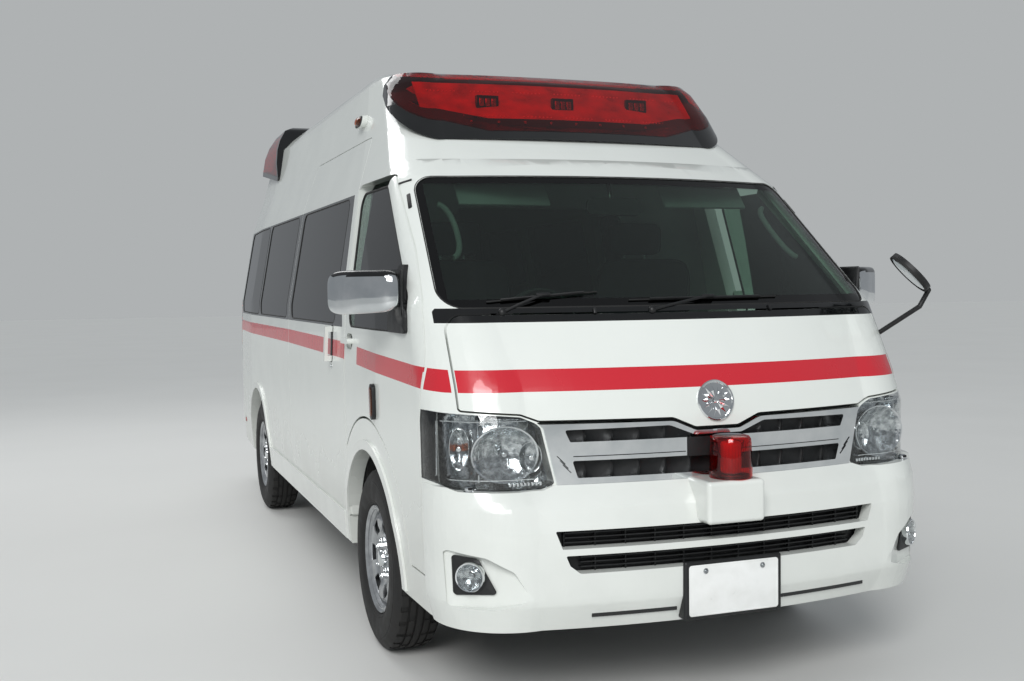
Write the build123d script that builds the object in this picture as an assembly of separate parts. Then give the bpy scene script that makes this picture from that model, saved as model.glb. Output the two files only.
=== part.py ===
"""High-roof van ambulance with sliding side doors and a lift-up tailgate.

Millimetres. X runs across (vehicle's left is +X), the front faces -Y, Z is up from the ground.
"""
import math
import os
from collections import namedtuple

from build123d import Axis, Compound, Edge, Face, Location, Plane, Solid, Wire, export_step, fillet

# Driving dimensions
WHEELBASE = 3110.0
FRONT_AXLE_Y = -1690.0
WHEEL_X = 827.0
TYRE_R = 346.5
TYRE_W = 195.0
RIM_R = 190.5
ARCH_R = 425.0
ARCH_RING = 120.0
WALL = 55.0
PANEL_GAP = 6.0
DOOR_CLEAR = 8.0
DOOR_ARCH_GAP = 9.0
DOOR_STEP = 24.0
DOOR_FLANGE = 8.0
FLOOR_Z = 600.0
FLOOR_T = 50.0
FASCIA_Z = 762.0
ROOF_SEAM_Z = 1890.0
GLASS_T = 6.0
BACK_BUMPER_Y = 2740.0
SHIFT_Y = 60.0

REAR_AXLE_Y = FRONT_AXLE_Y + WHEELBASE
AXLE_Z = TYRE_R
TAIL_Y = 1700.0

# Plan sections of the outer form, from the sill to the crown of the roof
Row = namedtuple("Row", "z front nose_x nose_y corner_x corner_y shoulder_y half tail_x rear rear_r")
BODY = (
    Row(320, -2712, 640, -2640, 905, -2400, -1900, 916, 890, 2585, 110),
    Row(560, -2716, 640, -2644, 921, -2400, -1900, 938, 903, 2600, 110),
    Row(960, -2714, 640, -2640, 928, -2390, -1900, 945, 908, 2600, 110),
    Row(1075, -2688, 645, -2596, 926, -2342, -1870, 946, 907, 2598, 110),
    Row(1318, -2545, 690, -2442, 915, -2230, -1800, 935, 900, 2580, 110),
    Row(1808, -1980, 660, -1875, 838, -1690, -1200, 848, 815, 2515, 100),
    Row(2045, -1560, 600, -1490, 757, -1330, -1000, 766, 738, 2470, 100),
    Row(2320, -1200, 560, -1150, 692, -1000, -800, 700, 675, 2385, 100),
    Row(2380, -850, 520, -805, 632, -750, -650, 640, 615, 2330, 100),
    Row(2420, -600, 400, -570, 462, -500, -400, 470, 445, 2200, 90),
)
BUMPER = (
    Row(310, -2757, 620, -2695, 900, -2450, -2300, 905, 890, 0, 100),
    Row(400, -2795, 640, -2735, 925, -2445, -2300, 930, 903, 0, 100),
    Row(620, -2798, 640, -2735, 934, -2440, -2300, 938, 908, 0, 100),
    Row(700, -2778, 640, -2712, 934, -2440, -2300, 938, 908, 0, 100),
    Row(762, -2728, 640, -2652, 932, -2440, -2300, 938, 908, 0, 100),
)
FRONT_BAR = (
    Row(1975, -1700, 580, -1610, 768, -1430, -1000, 775, 738, 0, 100),
    Row(2150, -1510, 560, -1455, 750, -1300, -900, 758, 738, 0, 100),
    Row(2262, -1385, 540, -1345, 722, -1210, -800, 728, 675, 0, 100),
    Row(2302, -1315, 520, -1285, 692, -1180, -800, 698, 675, 0, 100),
)
REAR_BAR = (
    Row(2080, -900, 560, -850, 700, -700, -500, 765, 760, 2462, 140),
    Row(2228, -900, 560, -850, 700, -700, -500, 758, 752, 2462, 140),
    Row(2322, -900, 560, -850, 690, -700, -500, 742, 738, 2440, 140),
    Row(2392, -900, 540, -850, 670, -700, -500, 717, 714, 2400, 140),
    Row(2460, -900, 500, -850, 630, -700, -500, 676, 672, 2340, 130),
    Row(2490, -900, 460, -850, 570, -700, -500, 612, 606, 2270, 120),
)

# Side outlines: y, z, corner radius
DOOR_LINE = ((-2400, 440, 10), (-2400, 1150, 260), (-2325, 1325, 200), (-2105, 1530, 600), (-1735, 1830, 70),
             (-1205, 1830, 30), (-1300, 1330, 600), (-1300, 440, 10))
DOOR_WINDOW = ((-2235, 1262, 30), (-2200, 1362, 60), (-1690, 1785, 60), (-1290, 1785, 50), (-1385, 1240, 50),
               (-2190, 1240, 30))
SLIDING_LINE = ((-1288, 440, 10), (-1288, 1330, 600), (-1193, 1835, 300), (-1112, 2050, 40), (148, 2050, 60),
                (148, 440, 10))
SLIDING_WINDOW = ((-1090, 1245, 50), (-1060, 1785, 50), (75, 1785, 50), (75, 1245, 50))
REAR_WINDOWS = (
    ((225, 1245, 50), (225, 1785, 50), (1250, 1785, 50), (1250, 1245, 50)),
    ((1310, 1245, 50), (1310, 1785, 50), (2330, 1785, 70), (2380, 1245, 60)),
)
DOOR_PULL = ((-1452, 1148, 30), (-1452, 1212, 30), (-1338, 1212, 30), (-1338, 1148, 30))
DOOR_PULL_BAR = ((-1462, 1171, 9), (-1462, 1193, 9), (-1328, 1193, 9), (-1328, 1171, 9))
FRONT_BAR_LINE = ((-1900, 1985), (-1600, 1985), (-1190, 2215), (-1150, 2302), (-1900, 2302))
REAR_BAR_LINE = ((1565, 2100, 20), (1790, 2470, 60), (1850, 2490, 60), (2500, 2490), (2500, 2215), (2420, 2215, 60))
SAIL_LINE = ((-2240, 1238, 12), (-2228, 1300, 40), (-2115, 1476, 10), (-2065, 1476, 30), (-2010, 1238, 12))
MARKER_LINE = ((-935, 2118, 28), (-935, 2172, 28), (-815, 2172, 28), (-815, 2118, 28))
CAB_REGION = ((-2950, 762), (-2100, 762), (-1500, 1890), (-2950, 1890))
SIDE_REGION = ((-2440, 300), (-2440, 762), (-2100, 762), (-1500, 1890), (2750, 1890), (2750, 300))

# Front and rear outlines: x, z, corner radius
WINDSCREEN_LINE = ((-845, 1322, 60), (-780, 1808, 70), (780, 1808, 70), (845, 1322, 60))
BONNET_LINE = ((-845, 998, 12), (-735, 990, 60), (-662, 984, 40), (-605, 962, 30), (-160, 958, 60), (-80, 924, 40),
               (80, 924, 40), (160, 958, 60), (605, 962, 30), (662, 984, 40), (735, 990, 60), (845, 998, 12),
               (845, 1306, 60), (-845, 1306, 60))
LAMP_LINE = ((558, 764, 12), (600, 945, 25), (614, 958, 20), (664, 980, 40), (735, 986, 60), (880, 993, 60),
             (975, 1003, 2), (975, 780, 2), (912, 771, 30), (862, 752, 40), (682, 748, 60), (600, 750, 20))
GRILLE_LINE = ((-552, 762, 1), (-594, 945, 25), (-612, 962, 1), (612, 962, 1), (594, 945, 25), (552, 762, 1))
GRILLE_SLOTS = (
    ((-509, 897, 6), (-527, 936, 6), (-175, 939, 40), (-88, 905, 30), (88, 905, 30), (175, 939, 40), (527, 936, 6),
     (509, 897, 6)),
    ((-486, 782, 6), (-503, 837, 6), (503, 837, 6), (486, 782, 6)),
)
BUMPER_SLOTS = (
    ((-568, 573, 4), (-590, 630, 4), (590, 630, 4), (568, 573, 4)),
    ((-512, 494, 20), (-545, 520, 12), (-558, 552, 4), (558, 552, 4), (545, 520, 12), (512, 494, 20)),
)
FOG_RECESS = ((903, 569, 12), (800, 553, 30), (718, 508, 40), (664, 417, 20), (772, 388, 30), (893, 388, 12))
FOG_BEZEL = ((881, 553, 10), (808, 541, 10), (756, 431, 10), (877, 425, 10))
TAILGATE_LINE = ((-770, 655, 40), (-770, 1300, 300), (-655, 2060, 60), (655, 2060, 60), (770, 1300, 300), (770, 655, 40))
TAILGATE_WINDOW = ((-680, 1290, 60), (-625, 1790, 60), (625, 1790, 60), (680, 1290, 60))
TAIL_LAMP_LINE = ((792, 900, 20), (792, 1330, 30), (960, 1330, 10), (960, 900, 10))

# Hinge lines of the doors and the kingpins
DOOR_HINGE = (932.0, -2391.0)
KINGPIN_X = 760.0
BONNET_HINGE = (-2549.0, 1294.0)
STEERING_HUB = (-420.0, -1990.0, 1170.0)
STEERING_TILT = 38.0
BADGE_Z = 1013.0
BADGE_R = 68.0
BEACON_R = 70.0
FOG_IN = (758.0, -2661.0)
FOG_OUT = (881.0, -2580.0)
MIRROR_STEM = (850.0, -2385.0, 1178.0)
MIRROR_BEND = (952.0, -2545.0, 1302.0)
MIRROR_NECK = (990.0, -2548.0, 1362.0)
MIRROR_CENTRE = (914.0, -2552.0, 1436.0)
MIRROR_FACING = (-0.645, 0.34, -0.70)
TAILGATE_HINGE = (2468.0, 2058.0)


def box(x0, x1, y0, y1, z0, z1):
    """Block between two corners."""
    return Solid.make_box(x1 - x0, y1 - y0, z1 - z0, Plane(origin=(x0, y0, z0)))


def rounded_box(x0, x1, y0, y1, z0, z1, radius):
    """Block with all its edges rounded."""
    block = box(x0, x1, y0, y1, z0, z1)
    return fillet(block.edges(), radius)


def cylinder(start, end, radius):
    """Round bar from one point to another."""
    run = [b - a for a, b in zip(start, end)]
    return Solid.make_cylinder(radius, math.dist(start, end), Plane(origin=start, z_dir=run))


def joined(*shapes):
    """One shape of several that overlap or touch."""
    total = shapes[0]
    for shape in shapes[1:]:
        total = total + shape
    return total


def group(*shapes):
    """Several solids kept apart in one piece."""
    return Compound([solid for shape in shapes for solid in shape.solids()])


def mirrored(shape):
    """The same shape on the other side of the vehicle."""
    return shape.mirror(Plane.YZ)


def pair(shape):
    """A shape and its mirror image as one piece."""
    return group(shape, mirrored(shape))


def corner_arc(start, heading, end):
    """Middle point of the arc that leaves start along heading and reaches end."""
    to_end = (end[0] - start[0], end[1] - start[1])
    size = math.hypot(*heading)
    unit = (heading[0] / size, heading[1] / size)
    normal = (-unit[1], unit[0])
    side = to_end[0] * normal[0] + to_end[1] * normal[1]
    radius = (to_end[0] ** 2 + to_end[1] ** 2) / (2 * side)
    centre = (start[0] + normal[0] * radius, start[1] + normal[1] * radius)
    way = (start[0] + end[0] - 2 * centre[0], start[1] + end[1] - 2 * centre[1])
    length = math.hypot(*way)
    return (centre[0] + way[0] / length * abs(radius), centre[1] + way[1] / length * abs(radius))


def plan_wire(row, inset):
    """Closed plan section: front arc, nose arcs, side lines, rear arcs and rear line."""
    front = (0, row.front + inset)
    nose = (row.nose_x - 0.4 * inset, row.nose_y + inset)
    corner = (row.corner_x - inset, row.corner_y)
    shoulder = (row.half - inset, row.shoulder_y)
    tail = (row.half - inset, TAIL_Y)
    turn = (row.tail_x - inset, row.rear - inset - row.rear_r)
    back = (row.tail_x - inset - row.rear_r, row.rear - inset)
    if row.rear == 0:
        tail = (row.half - inset, row.shoulder_y + 100)
        turn = (row.half - inset, row.shoulder_y + 200)
        back = (row.half - inset - row.rear_r, row.shoulder_y + 200 + row.rear_r)
    nose_mid = corner_arc(corner, (corner[0] - shoulder[0], corner[1] - shoulder[1]), nose)
    back_mid = corner_arc(turn, (turn[0] - tail[0], turn[1] - tail[1]), back)

    def at(point, side=1):
        return (side * point[0], point[1], row.z)

    edges = [
        Edge.make_three_point_arc(at(nose, -1), at(front), at(nose)),
        Edge.make_three_point_arc(at(nose), at(nose_mid), at(corner)),
        Edge.make_line(at(corner), at(shoulder)),
        Edge.make_line(at(shoulder), at(tail)),
        Edge.make_line(at(tail), at(turn)),
        Edge.make_three_point_arc(at(turn), at(back_mid), at(back)),
        Edge.make_line(at(back), at(back, -1)),
        Edge.make_three_point_arc(at(back, -1), at(back_mid, -1), at(turn, -1)),
        Edge.make_line(at(turn, -1), at(tail, -1)),
        Edge.make_line(at(tail, -1), at(shoulder, -1)),
        Edge.make_line(at(shoulder, -1), at(corner, -1)),
        Edge.make_three_point_arc(at(corner, -1), at(nose_mid, -1), at(nose, -1)),
    ]
    return Wire(edges)


def form(rows, inset):
    """Solid through the plan sections, drawn in by the inset all round and on top."""
    used = []
    for index, row in enumerate(rows):
        z = row.z
        if index == 0 and inset > 0:
            z = row.z - 25
        if z > 2300:
            z = row.z - 0.8 * inset
        used.append(row._replace(z=z))
    return Solid.make_loft([plan_wire(row, inset) for row in used], True)


FORMS = {}


def body_form(inset):
    """Outer form of the body drawn in by the inset, kept for use again."""
    if inset not in FORMS:
        FORMS[inset] = form(BODY, inset)
    return FORMS[inset]


def skin(outer, inner):
    """Shell of the body between two insets."""
    return body_form(outer) - body_form(inner)


def rounded_wire(corners, at):
    """Closed loop of lines and arcs from corners (u, v, radius); at places u and v in space."""
    points = []
    count = len(corners)
    for i, (u, v, *rest) in enumerate(corners):
        radius = rest[0] if rest else 0
        before = corners[i - 1]
        after = corners[(i + 1) % count]
        to_before = (before[0] - u, before[1] - v)
        to_after = (after[0] - u, after[1] - v)
        len_before = math.hypot(*to_before)
        len_after = math.hypot(*to_after)
        unit_before = (to_before[0] / len_before, to_before[1] / len_before)
        unit_after = (to_after[0] / len_after, to_after[1] / len_after)
        cosine = unit_before[0] * unit_after[0] + unit_before[1] * unit_after[1]
        half_angle = math.acos(max(-1.0, min(1.0, cosine))) / 2
        if radius == 0 or half_angle > 1.55:
            points.append(((u, v), None, (u, v)))
            continue
        run = min(radius / math.tan(half_angle), 0.48 * len_before, 0.48 * len_after)
        radius = run * math.tan(half_angle)
        start = (u + unit_before[0] * run, v + unit_before[1] * run)
        end = (u + unit_after[0] * run, v + unit_after[1] * run)
        bisector = (unit_before[0] + unit_after[0], unit_before[1] + unit_after[1])
        size = math.hypot(*bisector)
        reach = radius / math.sin(half_angle) - radius
        middle = (u + bisector[0] / size * reach, v + bisector[1] / size * reach)
        points.append((start, middle, end))
    edges = []
    for i, (start, middle, end) in enumerate(points):
        if middle is not None:
            edges.append(Edge.make_three_point_arc(at(*start), at(*middle), at(*end)))
        following = points[(i + 1) % count][0]
        if math.dist(end, following) > 0.001:
            edges.append(Edge.make_line(at(*end), at(*following)))
    return Wire(edges)


def side_prism(corners, x0, x1):
    """Side outline (y, z) extruded across the vehicle."""
    face = Face(rounded_wire(corners, lambda y, z: (x0, y, z)))
    return Solid.extrude(face, (x1 - x0, 0, 0))


def front_prism(corners, y0, y1):
    """Front outline (x, z) extruded along the vehicle."""
    face = Face(rounded_wire(corners, lambda x, z: (x, y0, z)))
    return Solid.extrude(face, (0, y1 - y0, 0))


def plan_prism(corners, z0, z1):
    """Plan outline (x, y) extruded upward."""
    face = Face(rounded_wire(corners, lambda x, y: (x, y, z0)))
    return Solid.extrude(face, (0, 0, z1 - z0))


def shrunk(corners, gap):
    """Outline drawn in by gap on every side, corner radii kept."""
    area = sum(a[0] * b[1] - b[0] * a[1] for a, b in zip(corners, corners[1:] + corners[:1]))
    sign = 1 if area > 0 else -1
    result = []
    count = len(corners)
    for i, corner in enumerate(corners):
        before = corners[i - 1]
        after = corners[(i + 1) % count]
        first = (corner[0] - before[0], corner[1] - before[1])
        second = (after[0] - corner[0], after[1] - corner[1])
        size_a = math.hypot(*first)
        size_b = math.hypot(*second)
        normal_a = (-first[1] / size_a * sign, first[0] / size_a * sign)
        normal_b = (-second[1] / size_b * sign, second[0] / size_b * sign)
        share = 1 + normal_a[0] * normal_b[0] + normal_a[1] * normal_b[1]
        shift = ((normal_a[0] + normal_b[0]) / share * gap, (normal_a[1] + normal_b[1]) / share * gap)
        rest = tuple(max(1.0, r - gap) for r in corner[2:])
        result.append((corner[0] + shift[0], corner[1] + shift[1]) + rest)
    return tuple(result)


def arches(radius, inner_front, inner_rear):
    """Round cuts of the four wheel arches, open to the outside."""
    front = cylinder((inner_front, FRONT_AXLE_Y, AXLE_Z), (1200, FRONT_AXLE_Y, AXLE_Z), radius)
    rear = cylinder((inner_rear, REAR_AXLE_Y, AXLE_Z), (1200, REAR_AXLE_Y, AXLE_Z), radius)
    return front, rear


def door_sweep():
    """Round form about the door hinge that the rear edge of the door stays inside."""
    x, y = DOOR_HINGE
    low = math.hypot(945 - x, DOOR_LINE[-1][0] - PANEL_GAP - y) - 1.5
    high = math.hypot(846 - x, DOOR_LINE[4][0] - PANEL_GAP - y) - 1.5
    bend = DOOR_LINE[-2][1] - 40
    top = DOOR_LINE[4][1] + 20
    cone = Solid.make_cone(low, high, top - bend, Plane(origin=(x, y, bend)))
    return joined(cylinder((x, y, 300), (x, y, bend), low), cone)


def front_door(wall):
    """Left cab door with its window opening, pull recess and pull, clear of the arch rim."""
    panel = wall & side_prism(shrunk(DOOR_LINE, PANEL_GAP), 700, 1100)
    panel = panel & door_sweep()
    rim = ARCH_R + ARCH_RING + DOOR_ARCH_GAP
    front_arch, _ = arches(rim, 500, 500)
    swing, _ = arches(rim + DOOR_STEP, 500, 500)
    panel = panel - front_arch - (swing & body_form(DOOR_FLANGE))
    panel = panel - side_prism(DOOR_WINDOW, 600, 1100)
    panel = panel - (skin(-5, 20) & side_prism(DOOR_PULL, 700, 1100))
    bar = skin(-24, -11) & side_prism(DOOR_PULL_BAR, 700, 1100)
    feet = skin(-12, 5) & side_prism(DOOR_PULL_BAR, 700, 1100)
    feet = feet - side_prism(((-1452, 1100), (-1452, 1260), (-1338, 1260), (-1338, 1100)), 700, 1100)
    return joined(panel, feet, bar)


def door_glass():
    """Pane of the left cab door."""
    return skin(4, 4 + GLASS_T) & side_prism(DOOR_WINDOW, 700, 1100)


def side_panel(wall, windows):
    """Left body side from the step under the cab door to the rear corner."""
    panel = wall & side_prism(SIDE_REGION, 0, 1100)
    opening = side_prism(DOOR_LINE, 700, 1100)
    ring_outer, _ = arches(ARCH_R + ARCH_RING, 600, 600)
    opening = opening - ring_outer
    panel = panel - opening
    front_arch, rear_arch = arches(ARCH_R, 500, 500)
    panel = panel - front_arch - rear_arch
    panel = panel - side_prism(SLIDING_LINE, 600, 1100)
    for window in windows:
        panel = panel - side_prism(window, 600, 1100)
    panel = panel - front_prism(TAILGATE_LINE, 2300, 2800)
    panel = panel - front_prism(TAIL_LAMP_LINE, 2440, 2800)
    panel = panel - front_prism(LAMP_LINE, -2950, -2404)
    return panel - box(-1, 1100, 2400, 2800, 300, 330)


def sliding_door(wall):
    """Left sliding door with its window opening."""
    panel = wall & side_prism(SLIDING_LINE, 600, 1100)
    panel = panel - side_prism(SLIDING_WINDOW, 600, 1100)
    edge = side_prism(SLIDING_LINE, 600, 1100) - side_prism(shrunk(SLIDING_LINE, 4), 600, 1100)
    return panel - (edge & skin(-5, 10))


def side_glass():
    """Fixed panes of the left side."""
    layer = skin(3, 3 + GLASS_T)
    panes = [layer & side_prism(line, 600, 1100) for line in (SLIDING_WINDOW, *REAR_WINDOWS)]
    return group(*panes)


def high_roof(wall):
    """Raised roof above the belt of the header."""
    roof = wall & box(-1100, 1100, -2500, 2800, ROOF_SEAM_Z, 2500)
    door = side_prism(SLIDING_LINE, 600, 1100)
    roof = roof - door - mirrored(door)
    return roof - front_prism(TAILGATE_LINE, 2300, 2800)


def cab_front(wall):
    """Windscreen pillars, header, cowl, corner panels and bulkhead."""
    panel = wall & side_prism(CAB_REGION, -1100, 1100)
    door = side_prism(DOOR_LINE, 700, 1100)
    panel = panel - door - mirrored(door)
    panel = panel - front_prism(BONNET_LINE, -2950, -2415)
    panel = panel - front_prism(WINDSCREEN_LINE, -2950, -1600)
    lamp = front_prism(LAMP_LINE, -2950, -2404)
    panel = panel - lamp - mirrored(lamp) - front_prism(GRILLE_LINE, -2950, -2400)
    low = box(-930, 930, -2415, -2400, FLOOR_Z, FASCIA_Z + 1) & body_form(WALL)
    high = box(-930, 930, -2415, -2400, FASCIA_Z, 1240) & body_form(WALL - 5)
    lamp_back = lamp & wall
    high = high - lamp_back - mirrored(lamp_back)
    low = low - lamp_back - mirrored(lamp_back)
    return joined(panel, high, low) - (mirror_stem(9.3) - body_form(20))


def windscreen():
    """Curved front pane."""
    return skin(5, 5 + GLASS_T) & front_prism(WINDSCREEN_LINE, -2950, -1600)


def bonnet():
    """Short nose lid below the windscreen."""
    lid = skin(0, 30) & front_prism(shrunk(BONNET_LINE, PANEL_GAP), -2950, -2421)
    return lid - badge_peg(20.3)


def badge_peg(radius):
    """Round bar through the nose lid behind the plain disc."""
    return cylinder((0, -2900, BADGE_Z + 20), (0, -2500, BADGE_Z + 20), radius)


def badge():
    """Plain raised disc on the nose lid, with the peg that holds it."""
    disc = skin(-8, -0.3) & cylinder((0, -2900, BADGE_Z), (0, -2500, BADGE_Z), BADGE_R)
    return joined(disc, skin(-4, 28) & badge_peg(20))


def grille():
    """Bright frame of the upper grille with its two long openings."""
    block = skin(-7, 40) & front_prism(GRILLE_LINE, -2950, -2400)
    block = block - front_prism(shrunk(BONNET_LINE, -PANEL_GAP), -2950, -2400)
    lamp = front_prism(shrunk(LAMP_LINE, -1), -2950, -2400)
    block = block - lamp - mirrored(lamp) - form(BUMPER, -0.3)
    for slot in GRILLE_SLOTS:
        block = block - front_prism(slot, -2950, -2400)
    return block - cylinder((8, -2785, 750), (8, -2785, 930), BEACON_R + 1.5)


def grille_backing():
    """Dark plate behind the grille openings with upright ribs."""
    plate = skin(40, 52) & front_prism(shrunk(GRILLE_LINE, 4), -2950, -2400)
    ribs = []
    for slot in GRILLE_SLOTS:
        inner = front_prism(shrunk(slot, 0.3), -2950, -2400)
        for x in range(-450, 451, 90):
            ribs.append(skin(20, 41) & inner & box(x - 2, x + 2, -2950, -2400, 760, 960))
    return joined(plate, *ribs)


def front_lamps():
    """Both headlamps."""
    return pair(skin(0, WALL) & front_prism(LAMP_LINE, -2950, -2404))


def front_bumper():
    """Front bumper cover with two air slots and a recess for each fog lamp."""
    cover = form(BUMPER, 0) - form(BUMPER, 45)
    cover = cover & box(-1100, 1100, -2900, -2440, 310, FASCIA_Z)
    lamp = front_prism(shrunk(LAMP_LINE, -0.3), -2950, -2300)
    cover = cover - lamp - mirrored(lamp)
    for slot in BUMPER_SLOTS:
        cover = cover - front_prism(slot, -2900, -2600)
    recess = plan_prism(((664, -2745), FOG_IN, FOG_OUT, (903, -2550), (1000, -2950), (664, -2950)), 380, 580)
    recess = recess & front_prism(FOG_RECESS, -2950, -2400)
    return cover - recess - mirrored(recess)


def fog_lamp():
    """Left fog lamp on its dark corner plate."""
    run = (FOG_OUT[0] - FOG_IN[0], FOG_OUT[1] - FOG_IN[1])
    size = math.hypot(*run)
    out = (run[1] / size, -run[0] / size)

    def at(share, away):
        return (FOG_IN[0] + run[0] * share + out[0] * away, FOG_IN[1] + run[1] * share + out[1] * away)

    plate = plan_prism((at(-0.1, 0.3), at(1.1, 0.3), at(1.1, 7), at(-0.1, 7)), 400, 580)
    plate = plate & front_prism(FOG_BEZEL, -2950, -2400)
    low = at(0.54, 5)
    high = at(0.54, 24)
    return joined(plate, cylinder((low[0], low[1], 488), (high[0], high[1], 488), 47))


def front_trim():
    """Dark backing of the grille, both fog lamps and the pad of the number plate."""
    pad = rounded_box(-172, 188, -2803, -2700, 318, 508, 9) - form(BUMPER, -0.3)
    lamp = fog_lamp() - form(BUMPER, 45)
    return group(grille_backing(), lamp, mirrored(lamp), pad)


def beacon():
    """Round lamp standing on its housing at the front centre."""
    return cylinder((8, -2785, 768.3), (8, -2785, 905), BEACON_R)


def beacon_pod():
    """Housing under the front round lamp."""
    pod = rounded_box(-117, 92, -2860, -2690, 632, 768, 14)
    return pod - form(BUMPER, -0.3) - body_form(-8)


def split_bar(bar, outline, edge):
    """Lens of a light bar, and the base strip along its lower edge."""
    bar = bar & side_prism(outline, -1000, 1000)
    inner = side_prism(edge, -1000, 1000)
    return bar & inner, bar - inner


def light_bar_front():
    """Lens and base of the red bar across the front of the high roof."""
    bar = form(FRONT_BAR, 0) - body_form(-0.3)
    edge = ((-1950, 2022), (-1611, 2022), (-1213, 2246), (-1180, 2330), (-1950, 2330))
    return split_bar(bar, FRONT_BAR_LINE, edge)


def light_bar_rear():
    """Lens and base of the red bar across the back of the high roof."""
    bar = form(REAR_BAR, 0) - body_form(-0.3)
    edge = ((1620, 2134), (1838, 2440), (1880, 2510), (2540, 2510), (2540, 2245), (2410, 2245))
    return split_bar(bar, REAR_BAR_LINE, edge)


def light_bar_bases(front, rear):
    """Base strips of both light bars."""
    return group(*[part for part in (*front.solids(), *rear.solids()) if part.volume > 5000])


def side_trim():
    """Left wheel-arch lips, sill, sliding-door pull and roof marker lamp."""
    layer = skin(-10, -0.3)
    front_in, rear_in = arches(ARCH_R, 500, 500)
    front_out, rear_out = arches(ARCH_R + 38, 500, 500)
    lips = []
    for outer, inner in ((front_out, front_in), (rear_out, rear_in)):
        lips.append((layer & (outer - inner)) & box(800, 1100, -2430, 2300, 332, 900))
    sill = layer & box(800, 1100, FRONT_AXLE_Y + 480, REAR_AXLE_Y - 480, 330, 452)
    pull = skin(-34, -20) & box(800, 1100, -1048, -1018, 1080, 1232)
    feet = skin(-21, -0.3) & group(box(800, 1100, -1048, -1018, 1080, 1104), box(800, 1100, -1048, -1018, 1208, 1232))
    marker = skin(-24, -0.3) & side_prism(MARKER_LINE, 600, 1100)
    return group(*lips, sill, joined(pull, feet), marker)


def tailgate(wall):
    """Lift-up rear door with its window opening."""
    panel = wall & front_prism(shrunk(TAILGATE_LINE, PANEL_GAP), 2300, 2800)
    return panel - front_prism(TAILGATE_WINDOW, 2300, 2800)


def tailgate_glass():
    """Pane of the rear door."""
    return skin(4, 4 + GLASS_T) & front_prism(TAILGATE_WINDOW, 2300, 2800)


def tail_lamps(wall):
    """Upright lamps at both rear corners."""
    return pair(wall & front_prism(TAIL_LAMP_LINE, 2440, 2800))


def rear_bumper():
    """Rear step."""
    step = rounded_box(-880, 880, 2480, BACK_BUMPER_Y, 400, 600, 25)
    return step - body_form(-0.3)


def floor_pan():
    """Floor plate, cab seat box over the front wheels and engine, and rear wheel boxes."""
    inside = body_form(WALL + 0.3)
    plate = box(-950, 950, -2399.7, 2540, FLOOR_Z, FLOOR_Z + FLOOR_T)
    seat_box = box(-950, 950, -2140, -1190, FLOOR_Z, 840)
    rear_box = box(650, 950, REAR_AXLE_Y - 470, REAR_AXLE_Y + 470, FLOOR_Z, 840)
    block = joined(plate, seat_box, rear_box, mirrored(rear_box)) & inside
    front_arch, rear_arch = arches(ARCH_R, 470, 700)
    swing = skin(WALL, WALL + DOOR_CLEAR) & box(-1000, 1000, -2450, -1294, FLOOR_Z - 10, 860)
    for cut in (front_arch, mirrored(front_arch), rear_arch, mirrored(rear_arch), swing):
        block = block - cut
    return block - box(-330, 330, -2050, -1230, FLOOR_Z - 10, 800)


def chassis_frame():
    """Two long rails with cross members."""
    rail = box(390, 460, -2600, 2480, 470, FLOOR_Z)
    members = [box(-390, 390, y, y + 70, 510, 590) for y in (-2500, -900, 300, 2100)]
    members.append(box(-390, 390, -1560, -1490, 330, 400))
    drop = box(390, 460, -1560, -1490, 330, 470)
    return joined(rail, mirrored(rail), *members, drop, mirrored(drop))


def engine():
    """Engine as one plain block."""
    return box(-220, 220, -1900, -1260, 400, 780)


def driveline():
    """Gearbox and propeller shaft to the rear axle."""
    gearbox = box(-110, 110, -1259.7, -905, 430, 590)
    joint = cylinder((0, -905, 455), (0, -830, 455), 50)
    shaft = cylinder((0, -830, 455), (0, REAR_AXLE_Y - 197, AXLE_Z + 20), 35)
    return joined(gearbox, joint, shaft)


def rear_axle():
    """Axle tube with its differential and wheel spindles."""
    tube = cylinder((-735, REAR_AXLE_Y, AXLE_Z), (735, REAR_AXLE_Y, AXLE_Z), 42)
    gear = Solid.make_sphere(140, Plane(origin=(0, REAR_AXLE_Y, AXLE_Z)))
    spindle = cylinder((-830, REAR_AXLE_Y, AXLE_Z), (830, REAR_AXLE_Y, AXLE_Z), 28)
    nose = cylinder((0, REAR_AXLE_Y - 190, AXLE_Z + 20), (0, REAR_AXLE_Y, AXLE_Z), 60)
    return joined(tube, gear, spindle, nose)


def leaf_springs():
    """Leaf spring, hangers and axle clamp on each side."""
    spring = box(500, 560, REAR_AXLE_Y - 640, REAR_AXLE_Y + 660, AXLE_Z + 42.3, AXLE_Z + 85)
    hangers = [box(460, 560, y, y + 60, AXLE_Z + 42.3, 585) for y in (REAR_AXLE_Y - 690, REAR_AXLE_Y + 650)]
    return pair(joined(spring, *hangers))


def front_suspension():
    """Cross member and two arms on each side, reaching under and over the kingpin."""
    lower = plan_prism(((300, -1860), (300, -1520), (560, -1640, 60), (792, -1650, 25), (792, -1730, 25),
                        (560, -1740, 60)), 205, 232)
    upper = plan_prism(((461, -1800), (461, -1580), (560, -1640, 40), (785, -1655, 25), (785, -1725, 25),
                        (560, -1740, 40)), 462, 486)
    beam = box(300, 389.7, -1860, -1561, 205, 469.7)
    return pair(joined(lower, beam)), pair(upper)


def knuckle():
    """Left steering knuckle with its wheel spindle."""
    upright = cylinder((KINGPIN_X, FRONT_AXLE_Y, 232.3), (KINGPIN_X, FRONT_AXLE_Y, 461.7), 26)
    spindle = cylinder((KINGPIN_X, FRONT_AXLE_Y, AXLE_Z), (831, FRONT_AXLE_Y, AXLE_Z), 28)
    arm = box(KINGPIN_X - 20, KINGPIN_X + 15, FRONT_AXLE_Y, FRONT_AXLE_Y + 110, 262, 290)
    return joined(upright, spindle, arm)


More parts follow.
